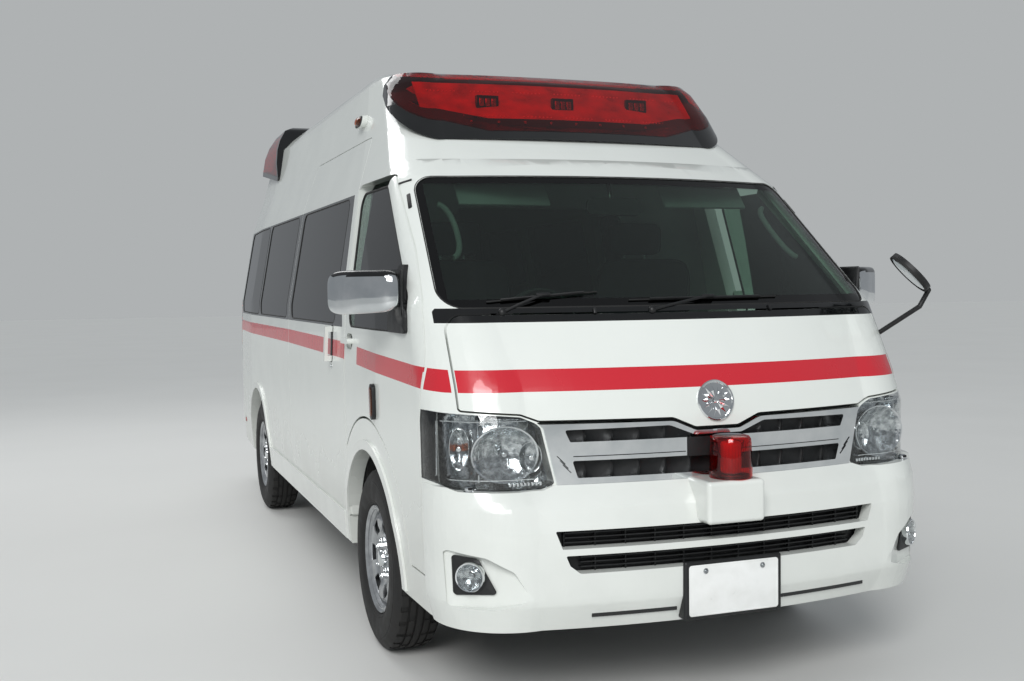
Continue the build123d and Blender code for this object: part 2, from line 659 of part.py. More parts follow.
def turned(profile, y):
    """Ring about the wheel axis from its profile of (x, radius, corner radius)."""
    face = Face(rounded_wire(profile, lambda x, r: (x, y, AXLE_Z + r)))
    return Solid.revolve(face, 360, Axis((0, y, AXLE_Z), (1, 0, 0)))


def tyre(y):
    """Left tyre."""
    w = TYRE_W / 2
    half = ((74.5, RIM_R + 0.5), (74.5, 208, 2), (86, 211, 6), (w, 245, 40), (w, 300, 45), (74, TYRE_R, 22))
    left = tuple((WHEEL_X - dx, *rest) for dx, *rest in half)
    right = tuple((WHEEL_X + dx, *rest) for dx, *rest in reversed(half))
    profile = left + right
    return turned(profile, y)


def rim(y):
    """Left steel wheel: barrel with flanges, disc with six windows, and hub."""
    barrel = turned(((WHEEL_X - 84, 170), (WHEEL_X - 84, 207, 3), (WHEEL_X - 76, 207, 3), (WHEEL_X - 75.5, RIM_R),
                     (WHEEL_X + 75.5, RIM_R), (WHEEL_X + 76, 207, 3), (WHEEL_X + 84, 207, 3), (WHEEL_X + 84, 170)), y)
    disc = turned(((WHEEL_X + 30, 172), (WHEEL_X + 52, 120, 8), (WHEEL_X + 38, 80, 8), (WHEEL_X + 38, 0),
                   (WHEEL_X + 52, 0), (WHEEL_X + 52, 78, 8), (WHEEL_X + 66, 120, 8), (WHEEL_X + 48, 172)), y)
    hub = cylinder((WHEEL_X - 30, y, AXLE_Z), (WHEEL_X + 40, y, AXLE_Z), 60)
    wheel = joined(barrel, disc, hub)
    for k in range(6):
        angle = math.radians(60 * k)
        cy = y + 138 * math.cos(angle)
        cz = AXLE_Z + 138 * math.sin(angle)
        wheel = wheel - cylinder((WHEEL_X + 20, cy, cz), (WHEEL_X + 80, cy, cz), 24)
    return wheel - cylinder((WHEEL_X - 40, y, AXLE_Z), (833, y, AXLE_Z), 28.5)


def dashboard():
    """Instrument panel across the cab."""
    profile = ((-2399.7, 950), (-2399.7, 1230, 20), (-2150, 1255, 40), (-2060, 1130, 50), (-2100, 900, 30),
               (-2399.7, 880))
    return side_prism(profile, -950, 950) & body_form(WALL + DOOR_CLEAR + 4)


def steering_plane(along):
    """Plane square to the steering column, at a distance up it from the rim of the wheel."""
    tilt = math.radians(STEERING_TILT)
    up = (0, math.sin(tilt), math.cos(tilt))
    origin = (STEERING_HUB[0], STEERING_HUB[1] + along * up[1], STEERING_HUB[2] + along * up[2])
    return Plane(origin=origin, x_dir=(1, 0, 0), z_dir=up)


def steering_wheel():
    """Rim, boss and spokes, on the vehicle's right."""
    ring = Solid.make_torus(185, 15, steering_plane(0))
    boss = Solid.make_cylinder(50, 26, steering_plane(-26))
    plane = steering_plane(-18)
    spokes = Solid.extrude(Face(Wire([Edge.make_line(plane.from_local_coords(a), plane.from_local_coords(b))
                                      for a, b in (((-182, -14), (182, -14)), ((182, -14), (182, 14)),
                                                   ((182, 14), (-182, 14)), ((-182, 14), (-182, -14)))])),
                           plane.z_dir * 14)
    return joined(ring, boss, spokes)


def steering_column(panel):
    """Shrouded column between the instrument panel and the steering wheel."""
    column = Solid.make_cylinder(38, 190, steering_plane(-26.4 - 190))
    return max((column - panel).solids(), key=lambda part: part.center().Z)


def cab_seats():
    """Two cab seats with head restraints."""
    seats = []
    for x in (-440, 440):
        cushion = rounded_box(x - 250, x + 250, -1800, -1290, 840.3, 960, 30)
        back = side_prism(((-1360, 950, 20), (-1270, 950, 20), (-1190, 1520, 30), (-1270, 1520, 30)), x - 235, x + 235)
        rest = rounded_box(x - 130, x + 130, -1250, -1160, 1535, 1680, 25)
        stalk = box(x - 60, x + 60, -1215, -1205, 1500, 1545)
        seats.append(joined(cushion, back, stalk, rest))
    return group(*seats)


def partition():
    """Wall between the cab and the patient space, with a wide opening."""
    plate = box(-950, 950, -1120, -1095, FLOOR_Z + FLOOR_T + 0.3, 2250) & body_form(WALL + 0.3)
    return plate - front_prism(((-420, 900, 60), (-420, 1750, 80), (420, 1750, 80), (420, 900, 60)), -1200, -1000)


def stretcher_deck():
    """Raised deck for the stretcher."""
    return rounded_box(-330, 330, 300, 2440, FLOOR_Z + FLOOR_T + 0.3, 860, 20)


def attendant_bench():
    """Bench along the left side of the patient space, above the wheel box."""
    bench = rounded_box(480, 820, 350, 2200, 840.3, 1060, 25)
    leg = box(500, 620, 400, 2150, FLOOR_Z + FLOOR_T + 0.3, 860)
    return joined(bench, leg)


def cabinet():
    """Equipment cabinet at the right front of the patient space."""
    return rounded_box(-820, -450, -1050, -420, FLOOR_Z + FLOOR_T + 0.3, 1180, 15)


def fuel_tank():
    """Tank under the floor, left of the middle."""
    return rounded_box(-370, -90, -450, 290, 380, FLOOR_Z - 0.3, 40)


def exhaust():
    """Silencer and tail pipe with hangers."""
    pipe = cylinder((250, -1200, 435), (250, 2470, 435), 26)
    silencer = cylinder((250, 420, 430), (250, 1050, 430), 85)
    hangers = [box(240, 260, y, y + 30, 400, FLOOR_Z - 0.3) for y in (-700, 180, 1900, 2400)]
    return joined(pipe, silencer, *hangers)


def wipers():
    """Two wiper blades with their arms over the windscreen."""
    layer = skin(-9, 4.4)
    blades = (
        ((-706, 1332), (-702, 1350), (-316, 1380), (-314, 1360)),
        ((-222, 1330), (-220, 1350), (376, 1354), (378, 1336)),
    )
    return group(*[layer & front_prism(blade, -2950, -1900) for blade in blades])


def mirror():
    """Left door mirror: swept-back head, arm and corner plate."""
    plate = skin(-14, -0.3) & side_prism(SAIL_LINE, 700, 1100)
    plan = ((925, -2222, 15), (985, -2198, 40), (1080, -2118, 60), (1148, -1985, 20), (1128, -1960, 10),
            (925, -2085, 15))
    head = plan_prism(plan, 1298, 1458)
    head = fillet(head.edges().group_by(Axis.Z)[0] + head.edges().group_by(Axis.Z)[-1], 9)
    arm = box(880, 960, -2205, -2110, 1300, 1345) - body_form(-1)
    return joined(plate, arm, head)


def mirror_stem(radius):
    """Straight foot of the look-down mirror, through the corner panel."""
    return cylinder(MIRROR_STEM, MIRROR_BEND, radius)


def under_mirror():
    """Round look-down mirror on a bent arm at the left front corner."""
    arm = joined(mirror_stem(9), Solid.make_sphere(9, Plane(origin=MIRROR_BEND)), cylinder(MIRROR_BEND, MIRROR_NECK, 9))
    dish = Solid.make_cylinder(88, 22, Plane(origin=MIRROR_CENTRE, z_dir=MIRROR_FACING))
    link = cylinder(MIRROR_NECK, (962, -2551, 1398), 9)
    return joined(arm, Solid.make_sphere(9, Plane(origin=MIRROR_NECK)), link, dish) - body_form(18)


def write(shape, name):
    """Save one piece at its place in the shared frame."""
    solids = shape.solids()
    piece = solids[0] if len(solids) == 1 else Compound(list(solids))
    export_step(piece.moved(Location((0, SHIFT_Y, 0))), f"parts/{name}.step")


def main():
    """Build every piece and save it."""
    os.makedirs("parts", exist_ok=True)
    wall = skin(0, WALL)
    side = side_panel(wall, REAR_WINDOWS)
    write(side, "side_panel_left")
    write(mirrored(side), "side_panel_right")
    write(high_roof(wall), "high_roof")
    write(cab_front(wall), "cab_front")
    write(windscreen(), "windscreen")
    write(bonnet(), "bonnet")
    write(badge(), "badge_disc")
    write(grille(), "grille")
    write(front_trim(), "front_trim")
    write(pair(side_trim()), "side_trim")
    write(front_lamps(), "front_lamps")
    write(front_bumper(), "front_bumper")
    write(beacon(), "front_beacon")
    write(beacon_pod(), "beacon_pod")
    front_lens, front_base = light_bar_front()
    rear_lens, rear_base = light_bar_rear()
    write(front_lens, "light_bar_front")
    write(rear_lens, "light_bar_rear")
    write(light_bar_bases(front_base, rear_base), "light_bar_bases")
    write(tail_lamps(wall), "tail_lamps")
    write(rear_bumper(), "rear_bumper")
    write(pair(side_glass()), "side_glass")
    write(tailgate(wall), "tailgate")
    write(tailgate_glass(), "tailgate_glass")
    sliding = sliding_door(wall)
    write(sliding, "sliding_door_left")
    write(mirrored(sliding), "sliding_door_right")
    door = front_door(wall)
    write(door, "door_left")
    write(mirrored(door), "door_right")
    pane = door_glass()
    write(pane, "door_glass_left")
    write(mirrored(pane), "door_glass_right")
    head = mirror()
    write(head, "mirror_left")
    write(mirrored(head), "mirror_right")
    write(under_mirror(), "look_down_mirror")
    write(wipers(), "wipers")
    write(floor_pan(), "floor_pan")
    write(chassis_frame(), "chassis_frame")
    write(engine(), "engine")
    write(driveline(), "driveline")
    write(rear_axle(), "rear_axle")
    write(leaf_springs(), "leaf_springs")
    lower, upper = front_suspension()
    write(group(lower, upper), "front_suspension")
    write(fuel_tank(), "fuel_tank")
    write(exhaust(), "exhaust")
    panel = dashboard()
    write(panel, "dashboard")
    write(steering_column(panel), "steering_column")
    write(cab_seats(), "cab_seats")
    write(steering_wheel(), "steering_wheel")
    write(partition(), "partition")
    write(stretcher_deck(), "stretcher_deck")
    write(attendant_bench(), "attendant_bench")
    write(cabinet(), "cabinet")
    hub = knuckle()
    write(hub, "knuckle_left")
    write(mirrored(hub), "knuckle_right")
    for name, y in (("front", FRONT_AXLE_Y), ("rear", REAR_AXLE_Y)):
        rubber = tyre(y)
        wheel = rim(y)
        write(rubber, f"tyre_{name}_left")
        write(mirrored(rubber), f"tyre_{name}_right")
        write(wheel, f"rim_{name}_left")
        write(mirrored(wheel), f"rim_{name}_right")


main()
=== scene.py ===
"""Looks of a high-roof ambulance: paint, glass, lamps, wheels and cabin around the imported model."""

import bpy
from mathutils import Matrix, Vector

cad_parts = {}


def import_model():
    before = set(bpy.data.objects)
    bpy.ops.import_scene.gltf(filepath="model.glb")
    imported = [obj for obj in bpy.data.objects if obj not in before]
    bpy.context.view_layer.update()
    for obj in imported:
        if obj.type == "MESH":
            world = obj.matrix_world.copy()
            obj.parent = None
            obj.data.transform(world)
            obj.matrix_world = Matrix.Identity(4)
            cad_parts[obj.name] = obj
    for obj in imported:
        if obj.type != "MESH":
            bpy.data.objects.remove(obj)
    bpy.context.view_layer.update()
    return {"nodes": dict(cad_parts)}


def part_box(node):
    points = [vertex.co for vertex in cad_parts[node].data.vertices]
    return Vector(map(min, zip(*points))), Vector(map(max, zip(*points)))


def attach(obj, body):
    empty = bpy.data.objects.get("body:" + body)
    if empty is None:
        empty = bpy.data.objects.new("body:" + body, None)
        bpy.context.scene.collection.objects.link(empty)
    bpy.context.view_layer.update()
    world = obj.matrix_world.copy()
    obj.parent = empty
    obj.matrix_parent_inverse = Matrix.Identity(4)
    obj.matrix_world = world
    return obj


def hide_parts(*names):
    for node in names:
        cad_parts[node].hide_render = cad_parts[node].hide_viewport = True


bl_info = {
    "name": "High-roof ambulance",
    "version": (1, 0, 0),
    "blender": (4, 5, 0),
    "location": "View3D > Sidebar > Ambulance",
    "description": "Builds the visible pieces and the finishes of a high-roof ambulance",
    "category": "Object",
}

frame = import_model()

import math

import bmesh
import bpy
import numpy as np
from mathutils import Matrix, Vector
from mathutils.bvhtree import BVHTree

NODES = frame["nodes"]
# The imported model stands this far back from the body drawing, in millimetres.
DRAWING_SHIFT = 60.0
LEFT, RIGHT = 1, -1
SIDES = ((LEFT, "left"), (RIGHT, "right"))
UP = (0, 0, 1)
DOWN = (0, 0, -1)
FRONT = (0, -1, 0)
BACK = (0, 1, 0)
# Points closer than this are one point: on a new shape, and on a CAD node's loose triangles.
MERGE = 1e-6
CAD_MERGE = 2e-5
# Lines that look for a surface start this far before the plane through their drawing point, in
# metres, and those that drape a sheet this far before or behind the middle, in millimetres.
PROBE = 4
DRAPE_FROM = 4500
BOWL_WALL = 0.0012


def mm(x, y, z):
    """Point of the body drawing, in millimetres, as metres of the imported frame."""
    return Vector((x, y + DRAWING_SHIFT, z)) / 1000


def shift(x, y, z):
    """Move by metres."""
    return Matrix.Translation((x, y, z))


def at(x, y, z):
    """Move to a point of the body drawing."""
    return Matrix.Translation(mm(x, y, z))


def turn(axis, degrees):
    """Turn about an axis."""
    return Matrix.Rotation(math.radians(degrees), 4, axis)


def stretch(x, y, z):
    """Scale along the axes."""
    return Matrix.Diagonal((x, y, z, 1))


def facing(position, out, up=UP):
    """Place whose Z points along out, with its Y as near up as it can be."""
    z = Vector(out).normalized()
    x = Vector(up).cross(z).normalized()
    return Matrix.Translation(position) @ Matrix((x, z.cross(x), z)).transposed().to_4x4()


# Shapes


def rounded(bm, edges, offset, **settings):
    """Rounds edges of a shape, if the offset isn't zero."""
    if offset:
        bmesh.ops.bevel(bm, geom=edges, offset=offset, segments=2, affect="EDGES", profile=0.5, material=-1,
                        **settings)
    return bm


def verts_of(result):
    """Points that a bmesh operator made."""
    return [v for v in result["geom"] if isinstance(v, bmesh.types.BMVert)]


def geometry(bm):
    """Everything in a shape."""
    return bm.verts[:] + bm.edges[:] + bm.faces[:]


def block(size, bevel=0.0):
    """Box of that size in metres, with rounded edges."""
    bm = bmesh.new()
    bmesh.ops.create_cube(bm, size=1)
    bmesh.ops.scale(bm, vec=size, verts=bm.verts)
    return rounded(bm, bm.edges[:], bevel, clamp_overlap=True)


def rod(radius, depth, bevel=0.0, sides=24):
    """Round bar along Z, from its base at Z 0, with rounded ends."""
    bm = bmesh.new()
    bmesh.ops.create_cone(bm, cap_ends=True, segments=sides, radius1=radius, radius2=radius, depth=depth)
    bmesh.ops.translate(bm, vec=(0, 0, depth / 2), verts=bm.verts)
    level = [e for e in bm.edges if abs(e.verts[0].co.z - e.verts[1].co.z) < depth * 0.1]
    return rounded(bm, level, bevel)


def turned(profile, steps=48, angle=math.tau):
    """Profile of (radius, height) points turned about Z."""
    bm = bmesh.new()
    verts = [bm.verts.new((r, 0, h)) for r, h in profile]
    edges = [bm.edges.new(pair) for pair in zip(verts, verts[1:])]
    bmesh.ops.spin(bm, geom=verts + edges, cent=(0, 0, 0), axis=UP, dvec=(0, 0, 0), angle=angle,
                   steps=steps, use_merge=angle == math.tau)
    bmesh.ops.remove_doubles(bm, verts=bm.verts, dist=MERGE)
    return bm


def plate(outline, depth, bevel=0.0):
    """Flat shape in XY pulled up along Z, with rounded edges."""
    bm = bmesh.new()
    face = bm.faces.new([bm.verts.new((x, y, 0)) for x, y in outline])
    pulled = bmesh.ops.extrude_face_region(bm, geom=[face], use_keep_orig=True)
    bmesh.ops.translate(bm, vec=(0, 0, depth), verts=verts_of(pulled))
    return rounded(bm, bm.edges[:], bevel, clamp_overlap=True)


def tube(points, radius, sides=3, closed=False, straight=False):
    """Round bar along a smooth line."""
    curve = bpy.data.curves.new("line", "CURVE")
    curve.dimensions = "3D"
    curve.bevel_depth = radius
    curve.bevel_resolution = sides
    curve.use_fill_caps = True
    curve.resolution_u = 6
    line = curve.splines.new("POLY" if straight else "NURBS")
    line.points.add(len(points) - 1)
    for point, place in zip(line.points, points):
        point.co = (*place, 1)
    line.use_cyclic_u = closed
    if not straight:
        line.order_u = 3
        line.use_endpoint_u = not closed
    holder = bpy.data.objects.new("line", curve)
    mesh = bpy.data.meshes.new_from_object(holder)
    bm = bmesh.new()
    bm.from_mesh(mesh)
    bpy.data.objects.remove(holder)
    bpy.data.meshes.remove(mesh)
    bmesh.ops.remove_doubles(bm, verts=bm.verts, dist=MERGE)
    return bm


def walled(bm, thickness):
    """Gives an open sheet a wall."""
    bmesh.ops.solidify(bm, geom=bm.faces[:], thickness=thickness)
    return bm


def strip(points, across, thickness):
    """Ribbon from a line of points, as wide as the vector across."""
    bm = bmesh.new()
    verts = [bm.verts.new(p) for p in points]
    edges = [bm.edges.new(pair) for pair in zip(verts, verts[1:])]
    pulled = bmesh.ops.extrude_edge_only(bm, edges=edges)
    bmesh.ops.translate(bm, vec=across, verts=verts_of(pulled))
    return walled(bm, thickness)


def oval(width, height, corner, steps=5):
    """Outline of a rectangle with round corners."""
    points = []
    for quarter, (sx, sy) in enumerate(((1, 1), (-1, 1), (-1, -1), (1, -1))):
        for k in range(steps + 1):
            angle = math.pi / 2 * (quarter + k / steps)
            points.append((sx * (width / 2 - corner) + corner * math.cos(angle),
                           sy * (height / 2 - corner) + corner * math.sin(angle)))
    return points


def bead(width, height, corner, radius, level=0.0):
    """Thin round bead along the outline of a rectangle with round corners."""
    return tube([Vector((x, y, level)) for x, y in oval(width, height, corner)], radius, 2, True, True)


def bowl(radius, depth, steps, rings, hole=0.010):
    """Reflector bowl with its rim at Z 0."""
    radii = [radius - (radius - hole) * k / rings for k in range(rings + 1)]
    return walled(turned([(r, -depth * (1 - (r / radius) ** 2)) for r in radii], steps), BOWL_WALL)


def dome(radius, height, steps=16, rings=4):
    """Low round cap standing on Z 0."""
    angles = [math.pi / 2 * k / rings for k in range(rings + 1)]
    cap = [(radius * math.cos(a), height * math.sin(a)) for a in angles]
    return turned(cap + [(0, 0), (radius, 0)], steps)


def box_norm(power, *point):
    """Size of a point where 1 is a box with round edges, which are sharper with a higher power."""
    return sum(abs(v) ** power for v in point) ** (1 / power)


def gridded_cube(cuts):
    """Cube from -1 to 1, each side cut into a grid."""
    bm = bmesh.new()
    bmesh.ops.create_cube(bm, size=2)
    bmesh.ops.subdivide_edges(bm, edges=bm.edges[:], cuts=cuts, use_grid_fill=True)
    return bm


def put(target, source, place=None, finish=0):
    """Adds a shape to a piece, at a place and in one of the piece's finishes."""
    if place is not None:
        source.transform(place)
    bmesh.ops.recalc_face_normals(source, faces=source.faces)
    for face in source.faces:
        face.material_index = finish
    join(target, source)


def join(target, source):
    """Moves everything in one shape into another."""
    mesh = bpy.data.meshes.new("shape")
    source.to_mesh(mesh)
    source.free()
    target.from_mesh(mesh)
    bpy.data.meshes.remove(mesh)


def flipped(bm):
    """Turns a shape's faces round."""
    bmesh.ops.reverse_faces(bm, faces=bm.faces)
    return bm


def other_side(bm):
    """Takes a shape to the other side of the vehicle."""
    bmesh.ops.scale(bm, vec=(-1, 1, 1), verts=bm.verts)
    return flipped(bm)


def mirrored(bm):
    """Adds the other side's twin of everything in a piece."""
    join(bm, other_side(bm.copy()))
    return bm


def copy_of(*names):
    """Merged copy of CAD nodes."""
    bm = bmesh.new()
    for name in names:
        bm.from_mesh(NODES[name].data)
    bmesh.ops.remove_doubles(bm, verts=bm.verts, dist=CAD_MERGE)
    return bm


def divided(bm, cell):
    """Cuts a shape along an even grid of planes, so that shading runs evenly over it."""
    for axis in range(3):
        values = [v.co[axis] for v in bm.verts]
        step = cell[axis]
        normal = Vector((axis == 0, axis == 1, axis == 2))
        for k in range(math.ceil(min(values) / step), math.floor(max(values) / step) + 1):
            near = [f for f in bm.faces
                    if min(v.co[axis] for v in f.verts) < k * step < max(v.co[axis] for v in f.verts)]
            if near:
                edges = dict.fromkeys(e for f in near for e in f.edges)
                verts = dict.fromkeys(v for e in edges for v in e.verts)
                bmesh.ops.bisect_plane(bm, geom=[*verts, *edges, *near], dist=MERGE,
                                       plane_co=normal * k * step, plane_no=normal)
    return bm


def only(bm, wanted):
    """Leaves only the faces that wanted says."""
    gone = [f for f in bm.faces if not wanted(f)]
    bmesh.ops.delete(bm, geom=gone, context="FACES")
    return bm


def faces_out(face, out, least=0.2):
    """True if a face looks outwards, out being that way on the left side."""
    sign = 1 if face.calc_center_median().x > 0 else -1
    return face.normal.dot(Vector((out[0] * sign, out[1], out[2]))) > least


def outer_skin(name, out, least=0.2):
    """Outer faces of a node, out being the way they face on the left."""
    return only(copy_of(name), lambda face: faces_out(face, out, least))


def tray_of(name, out):
    """Thin tray behind a lamp's cover: the faces of its node that don't look outwards."""
    return walled(flipped(only(copy_of(name), lambda face: not faces_out(face, out))), 0.001)


def rims(bm, step=0.012, fewest=6):
    """Closed boundary lines of an open mesh, thinned to even steps."""
    left = dict.fromkeys(e for e in bm.edges if e.is_boundary)
    loops = []
    while left:
        edge = next(iter(left))
        del left[edge]
        start, vert = edge.verts
        line = [start.co.copy()]
        while vert is not start:
            line.append(vert.co.copy())
            edge = next((e for e in vert.link_edges if e in left), None)
            if edge is None:
                break
            del left[edge]
            vert = edge.other_vert(vert)
        kept = [line[0]]
        for point in line[1:]:
            if (point - kept[-1]).length > step:
                kept.append(point)
        if len(kept) > fewest:
            loops.append(kept)
    return loops


def even_normals(bm, mesh, limit, rounds):
    """Gives mesh the normals of bm, averaged over neighbouring faces as far as its sharp edges."""
    parts = bm.copy()
    sharp = [e for e in parts.edges if len(e.link_faces) != 2 or e.calc_face_angle() > limit]
    bmesh.ops.split_edges(parts, edges=sharp)
    patch = bpy.data.meshes.new("patch")
    parts.to_mesh(patch)
    parts.free()
    corners = np.empty(len(patch.loops), np.int64)
    patch.loops.foreach_get("vertex_index", corners)
    totals = np.empty(len(patch.polygons), np.int64)
    patch.polygons.foreach_get("loop_total", totals)
    area = np.empty(len(totals))
    patch.polygons.foreach_get("area", area)
    normal = np.empty(len(totals) * 3)
    patch.polygons.foreach_get("normal", normal)
    normal = normal.reshape(-1, 3)
    face = np.repeat(np.arange(len(totals)), totals)
    for _ in range(rounds):
        point = np.zeros((len(patch.vertices), 3))
        np.add.at(point, corners, (normal * area[:, None])[face])
        point = unit(point)
        normal = np.zeros_like(normal)
        np.add.at(normal, face, point[corners])
        normal = unit(normal)
    mesh.set_sharp_from_angle(angle=limit)
    mesh.normals_split_custom_set(point[corners].tolist())
    bpy.data.meshes.remove(patch)


def unit(rows):
    """Rows of vectors at length 1."""
    return rows / (np.linalg.norm(rows, axis=1)[:, None] + 1e-12)


def piece(name, bm, finishes, body, stands_for=(), sharp=40, rounds=0):
    """Turns a shape into a named piece of the object that rides on a body."""
    mesh = bpy.data.meshes.new(name)
    bm.to_mesh(mesh)
    mesh.shade_smooth()
    if rounds:
        even_normals(bm, mesh, math.radians(sharp), rounds)
    else:
        mesh.set_sharp_from_angle(angle=math.radians(sharp))
    bm.free()
    for finish in finishes if isinstance(finishes, (list, tuple)) else [finishes]:
        mesh.materials.append(finish_named(finish))
    made = bpy.data.objects.new(name, mesh)
    bpy.context.scene.collection.objects.link(made)
    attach(made, body)
    if stands_for:
        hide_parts(*stands_for)
    return made


TREES = {}


def surface_at(name, start, way):
    """Point and normal where a line first meets a node."""
    if name not in TREES:
        bm = copy_of(name)
        TREES[name] = BVHTree.FromBMesh(bm)
        bm.free()
    point, normal, _, _ = TREES[name].ray_cast(Vector(start), Vector(way).normalized())
    if point is None:
        raise RuntimeError(f"no surface of {name} from {tuple(start)}")
    return point, normal


def spot(name, drawn, way):
    """Point and normal where a line through a drawing point, running along way, first meets a node."""
    ahead = Vector(way).normalized()
    return surface_at(name, mm(*drawn) - ahead * (mm(*drawn).dot(ahead) + PROBE), way)


def tap(name, drawn, way, lift=0.0):
    """Place on a node's surface with Z along its normal."""
    point, normal = spot(name, drawn, way)
    return facing(point + normal * lift, normal)


def line_on(name, start, end, steps, way, offset=(0, 0, 0)):
    """Points where lines through even steps from one drawing point to another first meet a node."""
    line = []
    for k in range(steps + 1):
        drawn = [a + (b - a) * k / steps for a, b in zip(start, end)]
        line.append(spot(name, drawn, way)[0] + Vector(offset))
    return line


def draped(name, xs, zs, way, depth, columns=40, rows=6):
    """Sheet at a depth behind the front of a node, over a span of X and of Z, in millimetres."""
    bm = bmesh.new()
    bmesh.ops.create_grid(bm, x_segments=columns, y_segments=rows, size=0.5)
    for vert in bm.verts:
        x = xs[0] + (xs[1] - xs[0]) * (vert.co.x + 0.5)
        z = zs[0] + (zs[1] - zs[0]) * (vert.co.y + 0.5)
        point, _ = surface_at(name, mm(x, -DRAPE_FROM * way[1], z), way)
        vert.co = point + Vector(way) * depth / 1000
    return bm


# Finishes


def colour(code):
    """Linear colour of an sRGB hex code."""
    parts = [int(code[i:i + 2], 16) / 255 for i in (0, 2, 4)]
    return (*[p / 12.92 if p <= 0.04045 else ((p + 0.055) / 1.055) ** 2.4 for p in parts], 1)


def add(tree, kind, inputs=(), **settings):
    """Adds a shader node; inputs are values, nodes or sockets by place or name."""
    made = tree.nodes.new("ShaderNode" + kind)
    for key, value in settings.items():
        setattr(made, key, value)
    for key, value in inputs.items() if isinstance(inputs, dict) else enumerate(inputs):
        if isinstance(value, bpy.types.ShaderNode):
            value = value.outputs[0]
        if isinstance(value, bpy.types.NodeSocket):
            tree.links.new(value, made.inputs[key])
        elif value is not None:
            made.inputs[key].default_value = value
    return made


def begin(name):
    """New material with its empty tree and the object's own coordinates."""
    material = bpy.data.materials.new(name)
    material.use_nodes = True
    material.node_tree.nodes.clear()
    return material, material.node_tree, add(material.node_tree, "TexCoord").outputs["Object"]


COAT_ROUGHNESS = 0.03
# Part of a noise's range that its blotches are spread over.
SPREAD = (0.3, 0.7)
# Each row: light tone, dark tone, metallic, roughness from and to, size of the blotches in mm,
# size and height of the grain in mm, coat, and the pattern of the grain. The grains of plastic,
# rubber and lacquer, the glitter and the weave are drawn coarser than the real ones, so that they show.
PLAIN = {
    # Sprayed enamel on moulded bumper plastic: white, glossy, with the faint ripple of sprayed lacquer.
    "painted_bumper_plastic": ("DFE2DD", "D9DCD7", 0, 0.16, 0.24, 260, 7, 0.02, 0.6, "NOISE"),
    # Moulded ABS with a fine spark-eroded grain: near black and dull, greyer where it catches light.
    "grained_black_abs": ("1B1C1D", "121314", 0, 0.42, 0.58, 60, 1.6, 0.05, 0, "VORONOI"),
    # Piano-black acrylic: deep black with a clean reflection and hairline dust.
    "gloss_black_acrylic": ("0B0C0D", "060707", 0, 0.08, 0.16, 120, 14, 0.01, 0.5, "NOISE"),
    # Extruded EPDM rubber seals: matt, slightly bloomed black.
    "extruded_black_rubber": ("1D1D1C", "121212", 0, 0.62, 0.8, 40, 3, 0.06, 0, "NOISE"),
    # Vulcanised tyre rubber: dark grey-brown, dusty, finely pitted.
    "vulcanised_tyre_rubber": ("232221", "151515", 0, 0.6, 0.85, 45, 2.4, 0.12, 0, "NOISE"),
    # Electroplated chrome over moulded plastic: bright mirror with a faint haze.
    "bright_chrome_plate": ("E9EBEC", "D6DADC", 1, 0.03, 0.09, 90, 22, 0.01, 0, "NOISE"),
    # Vacuum-aluminised reflector: mirror broken up by small moulded flutes; its dark blotches are painted
    # reflection.
    "aluminised_reflector": ("E6E9EA", "8C9296", 1, 0.06, 0.2, 18, 9, 0.5, 0, "VORONOI"),
    # Silver wheel enamel on pressed steel: fine metallic glitter under lacquer, brake dust in the low spots.
    "silver_wheel_enamel": ("B2B5B7", "8E9093", 0.75, 0.28, 0.4, 60, 1.8, 0.03, 0.4, "NOISE"),
    # Chassis black over steel: satin, dusty and blotched.
    "satin_chassis_black": ("262625", "151514", 0, 0.5, 0.75, 130, 6, 0.12, 0, "NOISE"),
    # Raw sand casting: dull grey, coarse grained, with rust freckles.
    "sand_cast_iron": ("6B6763", "494541", 0.6, 0.5, 0.75, 50, 3, 0.25, 0, "NOISE"),
    # Galvanised sheet: pale grey with zinc spangle.
    "galvanised_sheet": ("9A9C9B", "7C7F80", 0.85, 0.35, 0.55, 35, 20, 0.04, 0, "VORONOI"),
    # Grained polypropylene instrument panel: charcoal, leather-like grain.
    "grained_grey_polypropylene": ("2C2D2F", "232426", 0, 0.5, 0.62, 200, 2.2, 0.06, 0, "VORONOI"),
    # Pale moulded cabin trim: warm grey with fine grain.
    "grained_pale_trim": ("8E8F90", "828384", 0, 0.55, 0.65, 240, 2.2, 0.03, 0, "NOISE"),
    # Safety vinyl floor: grey with dark and pale flecks.
    "flecked_vinyl_floor": ("7B7E80", "5E6163", 0, 0.45, 0.6, 12, 4, 0.03, 0, "VORONOI"),
    # Melamine cabinet board: pale, almost smooth, faintly mottled.
    "pale_melamine_board": ("D5D6D0", "CACBC5", 0, 0.3, 0.4, 160, 3, 0.02, 0, "NOISE"),
    # Woven polyester seat cloth: charcoal with a visible two-tone weave.
    "woven_seat_cloth": ("33353A", "202226", 0, 0.8, 0.95, 30, 3.0, 0.35, 0, "WEAVE"),
    # Leathercloth: slate grey vinyl with a pebbled grain.
    "pebbled_grey_vinyl": ("5C6570", "4B535D", 0, 0.4, 0.55, 160, 2.4, 0.12, 0, "VORONOI"),
    # Embossed enamel number plate: bare white, softly glossy.
    "white_plate_enamel": ("EDEEEC", "E2E3E0", 0, 0.25, 0.35, 80, 5, 0.01, 0, "NOISE"),
    # Zinc-plated screw heads and nuts: bright, slightly blue, worn at the flats.
    "zinc_plated_steel": ("C2C6C8", "92979A", 1, 0.2, 0.35, 8, 2, 0.03, 0, "NOISE"),
    # Red diffuser panel behind the light bar's lens: bright, softly rippled.
    "red_lamp_panel": ("D8322C", "A81E1C", 0, 0.25, 0.4, 90, 12, 0.4, 0, "VORONOI"),
    # Silvered mirror glass: clean reflection, a trace of dust.
    "silvered_mirror_glass": ("DDE3E4", "D2D8DA", 1, 0.01, 0.04, 150, 40, 0.0, 0, "NOISE"),
}


